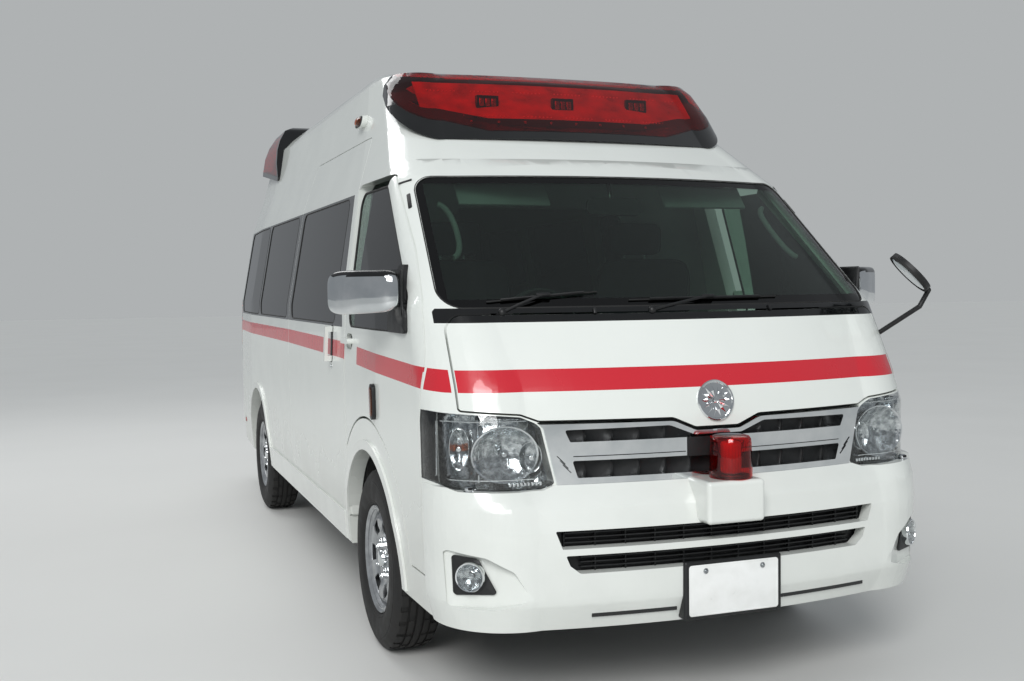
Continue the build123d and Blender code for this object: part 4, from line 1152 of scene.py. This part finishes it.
def mirror_head():
    """Left mirror head: bright shell, black back and lower edge, glass with its lip."""
    bm = gridded_cube(15)
    for vert in bm.verts:
        a, b, c = vert.co / box_norm(HEAD_POWER, *vert.co)
        share = min(2.999, max(0, (a + 1) * 1.5))
        k = int(share)
        near = HEAD_FRONT[k].lerp(HEAD_FRONT[k + 1], share - k)
        far = HEAD_BACK[k].lerp(HEAD_BACK[k + 1], share - k)
        x, y = far.lerp(near, (b + 1) / 2)
        vert.co = mm(x, y, HEAD_Z + HEAD_HALF * c * (1 - HEAD_RISE * (1 - a) * (c < 0)))
    bmesh.ops.recalc_face_normals(bm, faces=bm.faces)
    bm.normal_update()
    for face in bm.faces:
        bright = face.calc_center_median().z < BRIGHT_TOP and face.normal.dot(BRIGHT_WAY) > -0.25
        face.material_index = 0 if bright else 1
    glass = plate(oval(0.176, 0.128, 0.022), 0.002, 0.0008)
    put(bm, glass, facing(mm(1034, -2017, HEAD_Z), GLASS_OUT), 2)
    put(bm, bead(0.184, 0.136, 0.026, 0.003, 0.001), facing(mm(1034, -2018, HEAD_Z), GLASS_OUT), 1)
    return bm


def look_down_glass():
    """Round convex mirror that shows the ground in front of the nose."""
    out = Vector((-0.645, 0.34, -0.70)).normalized()
    place = facing(mm(914, -2552, 1436) + out * 0.021, out)
    bm = bmesh.new()
    put(bm, dome(0.081, 0.006, 48, 5), place, 0)
    put(bm, turned([(0.0885, 0.003), (0.0885, -0.006), (0.084, 0.004), (0.0885, 0.003)]), place, 1)
    piece("look_down_glass", bm, ["silvered_mirror_glass", "extruded_black_rubber"], "body")


# Wipers: both ends of the blade and the pivot of the arm, as X and Z in millimetres.
WIPERS = (((-694, 1341), (-316, 1370), (-655, 1310)), ((-217, 1341), (374, 1345), (-150, 1310)))


class AMBULANCE_OT_wipers(bpy.types.Operator):
    """Windscreen wipers with arms, and the washer nozzles on the cowl"""

    bl_idname = "ambulance.wipers"
    bl_label = "Wipers"

    def execute(self, context):
        bm = bmesh.new()
        for (x0, z0), (x1, z1), (pivot_x, pivot_z) in WIPERS:
            line = [spot("windscreen", (x0 + (x1 - x0) * k / 8, 0, z0 + (z1 - z0) * k / 8), BACK)
                    for k in range(9)]
            put(bm, tube([p + n * 0.0035 for p, n in line], 0.0028, 2), None, 1)
            put(bm, tube([p + n * 0.0085 for p, n in line[1:8]], 0.0038, 2), None, 0)
            point, normal = line[4]
            put(bm, block((0.050, 0.012, 0.014), 0.004), facing(point + normal * 0.012, normal), 0)
            foot = spot("cab_front", (pivot_x, 0, pivot_z), BACK)[0] + Vector((0, -0.004, 0))
            elbow = foot.lerp(point, 0.35) + normal * 0.010
            put(bm, tube([foot, elbow, point + normal * 0.014], 0.0048, 2), None, 0)
            put(bm, dome(0.014, 0.012, 20), facing(foot + Vector((0, 0.003, 0)), (0, -0.9, 0.45)), 0)
        for x in (-352, 318):
            place = tap("cab_front", (x, 0, 1309), BACK)
            put(bm, block((0.012, 0.022, 0.010), 0.003), place @ shift(0, 0, 0.003), 0)
        piece("wiper_set", bm, ["grained_black_abs", "extruded_black_rubber"], "body",
              ("wipers",), 40)
        return {"FINISHED"}


class AMBULANCE_OT_side_fittings(bpy.types.Operator):
    """Handles, locks, lamps, vents and window seals of both sides"""

    bl_idname = "ambulance.side_fittings"
    bl_label = "Side fittings"

    def execute(self, context):
        for side, tag in SIDES:
            cab_door_fittings(side, tag)
            body_side_fittings(side, tag)
        for node, (body, _, _, out, radius) in PANES.items():
            skin = outer_skin(node, out, 0.5)
            bm = bmesh.new()
            for loop in rims(skin):
                put(bm, tube(loop, radius, 2, True, True))
            skin.free()
            piece(node + "_seal", bm, "extruded_black_rubber", body, sharp=50)
        return {"FINISHED"}


def cab_door_fittings(side, tag):
    """Handle cup, lock and tall side lamp of a cab door."""
    node = f"door_{tag}"
    inward = (-side, 0, 0)
    bm = bmesh.new()
    point, _ = spot(node, (0, -1395, 1158), inward)
    put(bm, plate(oval(0.106, 0.056, 0.026), 0.0015), facing((point.x, point.y, 1.180), (side, 0, 0.05)), 0)
    put(bm, rod(0.010, 0.004, 0.001), tap(node, (0, -1312, 1182), inward), 1)
    place = tap(node, (0, -1835, 972), inward)
    put(bm, plate(oval(0.052, 0.135, 0.025), 0.014, 0.004), place, 0)
    put(bm, plate(oval(0.036, 0.110, 0.017), 0.004, 0.0015), place @ shift(0, 0, 0.0135), 2)
    piece(f"door_fittings_{tag}", bm, ["grained_black_abs", "bright_chrome_plate", "amber_acrylic"],
          f"cab_door_{tag}", sharp=35)


def body_side_fittings(side, tag):
    """Roof side lamp, sliding door's lock, pillar vents, fuel flap and rear reflector of a side."""
    inward = (-side, 0, 0)
    bm = bmesh.new()
    place = tap("side_trim", (0, -875, 2145), inward)
    put(bm, plate(oval(0.112, 0.048, 0.023), 0.006, 0.002), place @ shift(0, 0, -0.002), 0)
    put(bm, dome(0.021, 0.016, 28, 5), place @ shift(0, 0, 0.003) @ stretch(2.2, 1, 1), 2)
    place = tap(f"sliding_door_{tag}", (0, -1033, 1156), inward)
    put(bm, plate(oval(0.040, 0.165, 0.018), 0.0015, 0.0005), place, 0)
    put(bm, rod(0.009, 0.004, 0.001), place @ shift(0, -0.098, 0), 1)
    for y, z, wide, tall, angle in ((-1904, 1713, 0.016, 0.085, -0.55), (-1812, 1792, 0.060, 0.010, -0.28)):
        place = tap("cab_front", (0, y, z), inward)
        leaning = place @ turn("Z", math.degrees(side * angle))
        put(bm, plate(oval(wide, tall, 0.0045), 0.002, 0.0008), leaning, 0)
    if side == LEFT:
        flap = bead(0.19, 0.19, 0.03, 0.0016)
        put(bm, flap, tap("side_panel_left", (0, 1960, 985), inward), 0)
    place = tap(f"side_panel_{tag}", (0, 2380, 470), inward)
    put(bm, plate(oval(0.060, 0.030, 0.010), 0.004, 0.001), place, 3)
    piece(f"side_fittings_{tag}", bm,
          ["grained_black_abs", "bright_chrome_plate", "amber_acrylic", "red_acrylic"],
          "body", sharp=35)


# Wheels


# Middle of the wheels and of the axles, on the body drawing in millimetres.
WHEEL_X = 827
AXLE_Z = 346.5
AXLES_Y = (-1690, 1420)
# Tyre, in metres: radius, half of the tread, middle of each groove and half its width, and the
# radius where the tread starts. It is turned in so many steps.
TYRE_R = 0.3465
TREAD_HALF = 0.070
GROOVES = (-0.043, -0.0145, 0.0145, 0.043)
GROOVE_HALF = 0.0045
TREAD_FROM = 0.3395
TYRE_STEPS = 96
# Slots across the tread: from and to what distance from the middle, one in how many steps, and
# share of the tread's depth.
TREAD_SLOTS = ((0.0475, 0.0745, 3, 0.8), (0.019, 0.0385, 4, 0.5))
# Outer wall of a tyre from the rim up to the tread, and the rim's barrel and disc, as radius and
# distance outwards from the wheel's middle, in metres.
SIDEWALL = [(0.1915, -0.0745), (0.207, -0.075), (0.213, -0.086), (0.222, -0.0925), (0.226, -0.0915),
            (0.232, -0.0945), (0.262, -0.0975), (0.286, -0.0970), (0.300, -0.0955), (0.302, -0.0935),
            (0.306, -0.0935), (0.309, -0.0925), (0.322, -0.0870), (0.333, -0.0800), (0.3405, -0.0740)]
BARREL = [(0.170, -0.084), (0.206, -0.084), (0.207, -0.082), (0.207, -0.077), (0.1905, -0.0755),
          (0.1905, 0.0755), (0.207, 0.077), (0.2075, 0.082), (0.205, 0.0845), (0.1985, 0.0800),
          (0.188, 0.070), (0.182, 0.062), (0.180, 0.030), (0.176, -0.060), (0.170, -0.084)]
DISC = [(0.181, 0.045), (0.172, 0.050), (0.163, 0.061), (0.152, 0.067), (0.128, 0.066), (0.106, 0.059),
        (0.096, 0.052), (0.086, 0.050), (0.030, 0.050)]
HUB_CAP = [(0, 0.080), (0.020, 0.079), (0.032, 0.073), (0.036, 0.064), (0.037, 0.048), (0, 0.048)]
# Distance of the nuts and of the valve from the wheel's middle.
NUT_CIRCLE, VALVE_CIRCLE = 0.0695, 0.176
# A wheel has as many nuts as windows. Each window lies between two radii, and fills this share of
# its part of the turn on both sides of its middle.
WINDOWS = 6
WINDOW_LOW, WINDOW_HIGH = 0.106, 0.153
WINDOW_SHARE = 0.24


class AMBULANCE_OT_wheels(bpy.types.Operator):
    """Tyres with tread, pressed steel wheels with nuts, and the arch liners"""

    bl_idname = "ambulance.wheels"
    bl_label = "Wheels"

    def execute(self, context):
        depth = context.scene.ambulance_finish.tread_depth
        for end in ("front", "rear"):
            for side, tag in SIDES:
                low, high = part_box(f"tyre_{end}_{tag}")
                centre = (Vector(low) + Vector(high)) / 2
                centre.x = side * WHEEL_X / 1000
                place = facing(centre, (side, 0, 0))
                body = f"wheel_{end}_{tag}"
                bm = bmesh.new()
                put(bm, tyre(depth), place)
                piece(f"tyre_{end}_{tag}_treaded", bm, "vulcanised_tyre_rubber", body,
                      (f"tyre_{end}_{tag}",), 25)
                piece(f"wheel_{end}_{tag}_pressed", wheel(place),
                      ["silver_wheel_enamel", "bright_chrome_plate", "extruded_black_rubber"],
                      body, (f"rim_{end}_{tag}",), 28)
        arch = [(0.431, -0.17), (0.431, 0.075), (0.434, 0.075), (0.434, -0.17)]
        liners = bmesh.new()
        for y in AXLES_Y:
            place = facing(mm(WHEEL_X, y, AXLE_Z), (1, 0, 0))
            put(liners, turned(arch, 28, math.pi * 1.04), place @ turn("Z", math.degrees(-0.06)))
        piece("arch_liners", mirrored(liners), "grained_black_abs", "body", sharp=50)
        return {"FINISHED"}


def tyre(depth):
    """Tyre about Z with grooves round it and slots across it."""
    def crown(z):
        return TYRE_R - 0.0035 * (z / 0.072) ** 2

    outer = SIDEWALL + [(crown(-TREAD_HALF), -TREAD_HALF)]
    for groove in GROOVES:
        a, b = groove - GROOVE_HALF, groove + GROOVE_HALF
        outer += [(crown(a), a), (crown(a) - depth, a + 0.001), (crown(b) - depth, b - 0.001), (crown(b), b)]
    outer += [(crown(TREAD_HALF), TREAD_HALF)] + [(r, -z) for r, z in reversed(SIDEWALL)]
    outer.append(outer[0])
    bm = turned(outer, TYRE_STEPS)
    bm.normal_update()
    for least, most, every, share in TREAD_SLOTS:
        chosen = []
        for face in bm.faces:
            middle = face.calc_center_median()
            step = int((math.atan2(middle.y, middle.x) % math.tau) / math.tau * TYRE_STEPS)
            on_tread = math.hypot(middle.x, middle.y) > TREAD_FROM and least < abs(middle.z) < most
            if on_tread and step % every == 0:
                chosen.append(face)
        pulled = bmesh.ops.extrude_face_region(bm, geom=chosen)
        for vert in verts_of(pulled):
            scale = 1 - depth * share / math.hypot(vert.co.x, vert.co.y)
            vert.co.x *= scale
            vert.co.y *= scale
        bmesh.ops.delete(bm, geom=[f for f in chosen if f.is_valid], context="FACES_ONLY")
    return bm


def wheel(place):
    """Steel wheel with six windows, hub, cap, nuts and valve."""
    bm = bmesh.new()
    put(bm, turned(BARREL, 72), place, 0)

    def in_window(face):
        middle = face.calc_center_median()
        off = (math.atan2(middle.y, middle.x) / math.tau * WINDOWS + 0.5) % 1 - 0.5
        return WINDOW_LOW < math.hypot(middle.x, middle.y) < WINDOW_HIGH and abs(off) < WINDOW_SHARE

    disc = only(turned(DISC, 72), lambda face: not in_window(face))
    put(bm, walled(disc, 0.005), place, 0)
    put(bm, rod(0.060, 0.060, 0.004, 48), place @ shift(0, 0, -0.012), 0)
    put(bm, turned(HUB_CAP, 36), place, 1)
    for k in range(WINDOWS):
        nut = place @ turn("Z", 360 * (k + 0.5) / WINDOWS) @ shift(NUT_CIRCLE, 0, 0.049)
        put(bm, rod(0.0125, 0.020, 0.002, 6), nut, 1)
        put(bm, rod(0.007, 0.026, 0.002, 12), nut, 1)
    put(bm, rod(0.0045, 0.030, 0.001, 12), place @ shift(VALVE_CIRCLE, 0, 0.052), 2)
    return bm


# Seats and cabin


# Power of the rounding of a cushion's outline, and width of a sewn channel where its half is 1.
CUSHION_POWER = 7
CHANNEL_WIDTH = 0.045
# Depth of a channel as a share of the crown, and how far the sides pull in.
CHANNEL_DEPTH, SIDE_PULL = 0.45, 0.05
# Cab cushions: name, size, crown, channels, the axis that the channels lie along, Y and Z of its
# middle, its lean in degrees, and the height of its piping.
CAB_CUSHIONS = (("seat_cushion", (0.498, 0.505, 0.112), 0.016, (-0.45, 0.0, 0.45), 0, -1545, 898, 0, 0.028),
                ("seat_back", (0.466, 0.560, 0.088), 0.014, (-0.5, 0.0, 0.5), 1, -1272, 1240, 98, 0.022),
                ("head_restraint", (0.256, 0.142, 0.088), 0.014, (), 1, -1205, 1607, 92, 0.020))
SEAT_X = 440
BENCH_X = 650


def pad(size, crown, channels, axis):
    """Crowned cushion about the origin, rounded all over, with sewn channels across its top."""
    bm = gridded_cube(11)
    half = [s / 2 for s in size]
    for vert in bm.verts:
        a, b, c = vert.co
        norm = box_norm(CUSHION_POWER, a, b, c)
        swell = max(0, 1 - a * a) * max(0, 1 - b * b)
        along = b if axis == 1 else a
        sewn = sum(math.exp(-((along - line) / CHANNEL_WIDTH) ** 2) for line in channels) if c > 0.4 else 0
        side = 1 - SIDE_PULL * (1 - abs(c) ** 2) * (abs(c) < 0.99)
        vert.co = Vector((a / norm * half[0] * side, b / norm * half[1] * side,
                          c / norm * (half[2] - crown) + (c > 0) * crown * (swell - CHANNEL_DEPTH * sewn)))
    return bm


def piping(size, height):
    """Round welt along the upper edge of a cushion."""
    points = []
    for k in range(40):
        angle = math.tau * k / 40
        a, b = math.cos(angle), math.sin(angle)
        reach = 0.985 / box_norm(CUSHION_POWER, a, b) / 2
        points.append(Vector((a * reach * size[0], b * reach * size[1], height)))
    return tube(points, 0.0028, 2, True)


def cushion(name, size, crown, channels, axis, place, height, finish, node):
    """Padded cushion with its piping, as a piece."""
    bm = bmesh.new()
    put(bm, pad(size, crown, channels, axis), place, 0)
    put(bm, piping(size, height), place, 1)
    made = piece(name, bm, [finish, "extruded_black_rubber"], "body", (node,), 60)


def blocks(bm, rows):
    """Adds blocks to a piece, from rows of size, rounding, drawn place and finish."""
    for size, bevel, drawn, finish in rows:
        put(bm, block(size, bevel), at(*drawn), finish)


class AMBULANCE_OT_seats(bpy.types.Operator):
    """Cab seats and the attendant's bench, as sewn cushions"""

    bl_idname = "ambulance.seats"
    bl_label = "Seats"

    def execute(self, context):
        for side, tag in SIDES:
            x = side * SEAT_X
            for name, size, crown, channels, axis, y, z, lean, height in CAB_CUSHIONS:
                cushion(f"{name}_{tag}", size, crown, channels, axis, at(x, y, z) @ turn("X", lean), height,
                        "woven_seat_cloth", "cab_seats")
            stalks = bmesh.new()
            for off in (-52, 52):
                put(stalks, rod(0.006, 0.075, 0.001), at(x + off, -1208, 1488))
            piece(f"head_restraint_stalks_{tag}", stalks, "zinc_plated_steel", "body",
                  ("cab_seats",))
        for k in range(3):
            cushion(f"bench_pad_{k + 1}", (0.334, 0.608, 0.100), 0.014, (-0.33, 0.33), 1,
                    at(BENCH_X, 658 + 617 * k, 1008), 0.026, "pebbled_grey_vinyl",
                    "attendant_bench")
        base = bmesh.new()
        blocks(base, (((0.330, 1.840, 0.112), 0.006, (BENCH_X, 1275, 900), 0),
                      ((0.120, 1.750, 0.190), 0.004, (560, 1275, 748), 0)))
        piece("bench_box", base, "pale_melamine_board", "body", ("attendant_bench",), 35)
        return {"FINISHED"}


# Half a hood over the instruments, as radius and distance forwards, in metres.
HOOD = [(0.125, 0), (0.135, 0.03), (0.135, 0.10), (0.128, 0.13), (0.122, 0.13), (0.128, 0.10), (0.128, 0.03),
        (0.119, 0)]
GRIP = ((700, -1880, 1705), (672, -1890, 1695), (664, -2000, 1605), (684, -2105, 1510), (712, -2110, 1498))


class AMBULANCE_OT_cabin(bpy.types.Operator):
    """Instruments, vents, inside mirror, visors, grab handles and cabinet doors"""

    bl_idname = "ambulance.cabin"
    bl_label = "Cabin fittings"

    def execute(self, context):
        bm = bmesh.new()
        put(bm, turned(HOOD, 24, math.pi), at(-420, -2105, 1235) @ turn("X", 78), 0)
        blocks(bm, (((0.230, 0.012, 0.085), 0.004, (-420, -2120, 1262), 1),
                    ((0.250, 0.150, 0.260), 0.020, (0, -2105, 1080), 0),
                    ((0.180, 0.010, 0.090), 0.006, (0, -2030, 1130), 1)))
        for x in (-700, -140, 140, 700):
            blocks(bm, [((0.110, 0.016, 0.060), 0.008, (x, -2078, 1185), 1)]
                   + [((0.096, 0.006, 0.004), 0.001, (x, -2068, 1167 + 12 * k), 0) for k in range(4)])
        blocks(bm, [((0.330, 0.012, 0.130), 0.010, (440, -2072, 1060), 0)]
               + [((0.028, 0.007, 0.004), 0.001, (x, -2345, 1237), 1) for x in range(-760, 761, 40)])
        piece("dashboard_fittings", bm, ["grained_grey_polypropylene", "gloss_black_acrylic"], "body",
              sharp=35)
        upper = bmesh.new()
        glass = plate(oval(0.235, 0.068, 0.024), 0.022, 0.006)
        put(upper, glass, facing(mm(-32, -1985, 1694), (0.1, -1, 0.1)), 1)
        put(upper, rod(0.008, 0.090, 0.002), facing(mm(-32, -1972, 1712), (0, 0.35, 1)), 1)
        for x in (-440, 420):
            put(upper, block((0.370, 0.014, 0.110), 0.006), at(x, -1870, 1745) @ turn("X", -38), 0)
        piece("cab_mirror_and_visors", upper, ["grained_pale_trim", "gloss_black_acrylic"], "body",
              sharp=35)
        grips = bmesh.new()
        for side in (LEFT, RIGHT):
            put(grips, tube([mm(side * x, y, z) for x, y, z in GRIP], 0.011))
        piece("pillar_grips", grips, "grained_pale_trim", "body")
        store = bmesh.new()
        for y in (-945, -735, -525):
            blocks(store, (((0.012, 0.196, 0.480), 0.004, (-447, y, 925), 0),
                           ((0.010, 0.060, 0.012), 0.003, (-438, y, 1120), 1)))
        blocks(store, [((0.030, 2.08, 0.010), 0.004, (x, 1370, 862), 1) for x in (-300, 0, 300)])
        piece("store_doors_and_rails", store, ["pale_melamine_board", "zinc_plated_steel"], "body",
              sharp=35)
        return {"FINISHED"}


# Rear


TAIL_OUT = (0.5, 0.86, 0)
# Parts of a tail lamp's cover: name, lowest and highest Z in metres, finish.
TAIL_COVERS = (("red", 1.115, 1.4, "red_acrylic"), ("amber", 1.005, 1.115, "amber_acrylic"),
               ("clear", 0.8, 1.005, "clear_polycarbonate"))
TAIL_BULBS_Z = (1270, 1180, 1060, 950)


class AMBULANCE_OT_rear(bpy.types.Operator):
    """Tail lamps, stop lamp, back door handle, rear wiper, plate and bumper step"""

    bl_idname = "ambulance.rear"
    bl_label = "Rear fittings"

    def execute(self, context):
        tail_lamps()
        back_door_fittings()
        place = tap("tailgate", (0, 0, 865), FRONT) @ shift(0, 0, 0.001)
        number_plate("rear_number_plate", place, "back_door")
        step = bmesh.new()
        blocks(step, [((1.300, 0.008, 0.005), 0.002, (0, 2634 + 13 * k, 601.5), 0) for k in range(7)])
        for side in (LEFT, RIGHT):
            place = tap("rear_bumper", (side * 700, 0, 470), FRONT, lift=-0.0045)
            put(step, plate(oval(0.110, 0.034, 0.010), 0.0045, 0.0015), place, 1)
        piece("rear_bumper_step", step, ["grained_black_abs", "red_acrylic"], "body",
              sharp=35)
        return {"FINISHED"}


def tail_lamps():
    """Three-part covers, trays, bowls and bulbs of the tail lamps."""
    node = "tail_lamps"
    for part, low, high, finish in TAIL_COVERS:
        cover = outer_skin(node, TAIL_OUT)
        for height, below in ((low, True), (high, False)):
            bmesh.ops.bisect_plane(cover, geom=geometry(cover), dist=MERGE, plane_co=(0, 0, height),
                                   plane_no=UP, clear_inner=below, clear_outer=not below)
        piece(f"tail_lamp_{part}_covers", walled(cover, COVER_WALL), finish, "body", (node,), 40)
    piece("tail_lamp_trays", tray_of(node, TAIL_OUT), "aluminised_reflector", "body", (node,), 30)
    inside = bmesh.new()
    for z in TAIL_BULBS_Z:
        point, _ = spot(node, (850, 0, z), FRONT)
        place = facing(point + Vector((0, -0.012, 0)), (0.25, 1, 0))
        put(inside, bowl(0.036, 0.022, 24, 5, 0.008), place, 0)
        put(inside, dome(0.009, 0.014), place @ shift(0, 0, -0.020), 1)
    piece("tail_lamp_bowls", mirrored(inside), ["aluminised_reflector", "clear_polycarbonate"], "body",
          (node,), 10)


def back_door_fittings():
    """Handle strip with its plate lamps, stop lamp and wiper of the back door."""
    door = bmesh.new()
    place = tap("tailgate", (0, 0, 1010), FRONT)
    put(door, plate(oval(0.62, 0.075, 0.020), 0.022, 0.008), place, 0)
    put(door, block((0.160, 0.030, 0.018), 0.005), place @ shift(0, -0.030, 0.016), 1)
    for x in (-0.12, 0.12):
        put(door, block((0.050, 0.014, 0.010), 0.003), place @ shift(x, -0.036, 0.012), 2)
    put(door, plate(oval(0.30, 0.034, 0.012), 0.014, 0.004), tap("tailgate", (0, 0, 1868), FRONT), 3)
    pivot, normal = spot("tailgate", (0, 0, 1262), FRONT)
    put(door, dome(0.022, 0.026, 24), facing(pivot, normal), 1)
    line = [spot("tailgate_glass", (30 + 56 * k, 0, 1325 + 14 * k), FRONT) for k in range(7)]
    for lift, radius in ((0.009, 0.0042), (0.004, 0.0026)):
        put(door, tube([p + n * lift for p, n in line], radius, 2), None, 1)
    middle, glass_normal = line[3]
    arm = [pivot + normal * 0.020, pivot.lerp(middle, 0.5) + normal * 0.024, middle + glass_normal * 0.012]
    put(door, tube(arm, 0.0055, 2), None, 1)
    piece("back_door_fittings", door,
          ["painted_bumper_plastic", "grained_black_abs", "clear_polycarbonate", "red_acrylic"],
          "back_door", sharp=35)


# Stage


FLOOR_HALF = 60
# World tones and strengths: what lights the object, what its gloss reflects, what the camera sees.
WORLD_LIT = ("DDE3E8", 0.62)
WORLD_MIRRORED = ("D5DADF", 0.42)
WORLD_SHOWN = ("AFB2B3", 1.0)
# Lamps: name, kind, place, aim, width in metres or angle in degrees, strength.
LAMPS = (("key", "SUN", (-5.0, -9.0, 8.0), (0, -1.0, 1.0), 25, 1.35),
         ("softbox", "AREA", (-3.5, -8.5, 4.5), (0, -2.4, 1.2), 3.5, 170),
         ("overhead", "AREA", (-2.5, 4.5, 6.5), (0, 1.0, 0.5), 4.0, 150))
# Camera: place, its turn from straight ahead, its rise and roll in degrees, and its focal length
# and the photograph's width in pixels, on a sensor of so many millimetres.
CAMERA_AT = (-1.923, -5.967, 1.390)
CAMERA_ANGLES = (20.02, -2.63, -0.72)
FOCAL_PIXELS, PHOTO_PIXELS, SENSOR = 1150.3, 1024, 36


class AMBULANCE_OT_stage(bpy.types.Operator):
    """Pale floor, soft lamps and the camera of the photograph"""

    bl_idname = "ambulance.stage"
    bl_label = "Stage"

    def execute(self, context):
        scene = context.scene
        floor(scene)
        world(scene)
        lamps(scene)
        camera(scene)
        scene.view_settings.view_transform = "Standard"
        return {"FINISHED"}


def stand(scene, name, data):
    """New object of the stage."""
    holder = bpy.data.objects.new(name, data)
    scene.collection.objects.link(holder)
    return holder


def floor(scene):
    """Wide floor of rolled vinyl: matt, pale and faintly clouded."""
    bm = bmesh.new()
    bmesh.ops.create_grid(bm, x_segments=2, y_segments=2, size=FLOOR_HALF)
    mesh = bpy.data.meshes.new("studio_floor")
    bm.to_mesh(mesh)
    bm.free()
    material, tree, place = begin("rolled_studio_vinyl")
    cloud = add(tree, "TexNoise", {"Vector": place, "Scale": 0.7, "Detail": 3.0})
    pale = (*scene.ambulance_finish.floor, 1)
    base = add(tree, "Mix", {0: cloud, 6: pale, 7: colour("D2D2CF")}, data_type="RGBA").outputs[2]
    shader = add(tree, "BsdfPrincipled", {"Base Color": base, "Roughness": 0.6})
    add(tree, "OutputMaterial", (shader,))
    mesh.materials.append(material)
    stand(scene, "studio_floor", mesh)


def world(scene):
    """Even pale surroundings, dimmer where the gloss reflects them."""
    scene.world = bpy.data.worlds.new("studio")
    scene.world.use_nodes = True
    tree = scene.world.node_tree
    tree.nodes.clear()
    path = add(tree, "LightPath")
    lit, dim, shown = [add(tree, "Background", (colour(tone), strength))
                       for tone, strength in (WORLD_LIT, WORLD_MIRRORED, WORLD_SHOWN)]
    bright = add(tree, "MixShader", (path.outputs["Is Glossy Ray"], lit, dim))
    add(tree, "OutputWorld", (add(tree, "MixShader", (path.outputs["Is Camera Ray"], bright, shown)),))


def lamps(scene):
    """The key light and two wide lamps."""
    for name, kind, place, aim, size, strength in LAMPS:
        lamp = bpy.data.lights.new(name, kind)
        lamp.energy = strength
        if kind == "SUN":
            lamp.angle = math.radians(size)
        else:
            lamp.size = size
        holder = stand(scene, name, lamp)
        holder.location = place
        holder.rotation_mode = "QUATERNION"
        holder.rotation_quaternion = (Vector(aim) - Vector(place)).to_track_quat("-Z", "Y")


def camera(scene):
    """Camera of the photograph's viewing angle."""
    azimuth, elevation, roll = (math.radians(a) for a in CAMERA_ANGLES)
    ahead = Vector((math.sin(azimuth) * math.cos(elevation), math.cos(azimuth) * math.cos(elevation),
                    math.sin(elevation)))
    right = Vector((math.cos(azimuth), -math.sin(azimuth), 0))
    up = right.cross(ahead)
    tilted = right * math.cos(roll) + up * math.sin(roll)
    upright = up * math.cos(roll) - right * math.sin(roll)
    lens = bpy.data.cameras.new("camera")
    lens.sensor_width = SENSOR
    lens.lens = FOCAL_PIXELS * SENSOR / PHOTO_PIXELS
    holder = stand(scene, "camera", lens)
    axes = Matrix((tilted, upright, -ahead)).transposed().to_4x4()
    holder.matrix_world = Matrix.Translation(CAMERA_AT) @ axes
    scene.camera = holder


class AMBULANCE_PT_panel(bpy.types.Panel):
    """Lists the settings and the steps"""

    bl_label = "Ambulance"
    bl_space_type = "VIEW_3D"
    bl_region_type = "UI"
    bl_category = "Ambulance"

    def draw(self, context):
        for key in AmbulanceFinish.__annotations__:
            self.layout.prop(context.scene.ambulance_finish, key)
        for step in STEPS:
            self.layout.operator(step.bl_idname)


STEPS = (AMBULANCE_OT_stage, AMBULANCE_OT_carried, AMBULANCE_OT_bodywork, AMBULANCE_OT_glazing,
         AMBULANCE_OT_headlamps, AMBULANCE_OT_grille, AMBULANCE_OT_bumpers, AMBULANCE_OT_beacons,
         AMBULANCE_OT_mirrors, AMBULANCE_OT_wipers, AMBULANCE_OT_side_fittings, AMBULANCE_OT_wheels,
         AMBULANCE_OT_seats, AMBULANCE_OT_cabin, AMBULANCE_OT_rear)


def register():
    """Registers the add-on's classes."""
    for item in (AmbulanceFinish, *STEPS, AMBULANCE_PT_panel):
        bpy.utils.register_class(item)
    bpy.types.Scene.ambulance_finish = bpy.props.PointerProperty(type=AmbulanceFinish)


def unregister():
    """Removes the add-on's classes."""
    del bpy.types.Scene.ambulance_finish
    for item in (AMBULANCE_PT_panel, *reversed(STEPS), AmbulanceFinish):
        bpy.utils.unregister_class(item)


def main():
    """Builds everything."""
    register()
    for step in STEPS:
        group, name = step.bl_idname.split(".")
        getattr(getattr(bpy.ops, group), name)()


if __name__ == "__main__":
    main()
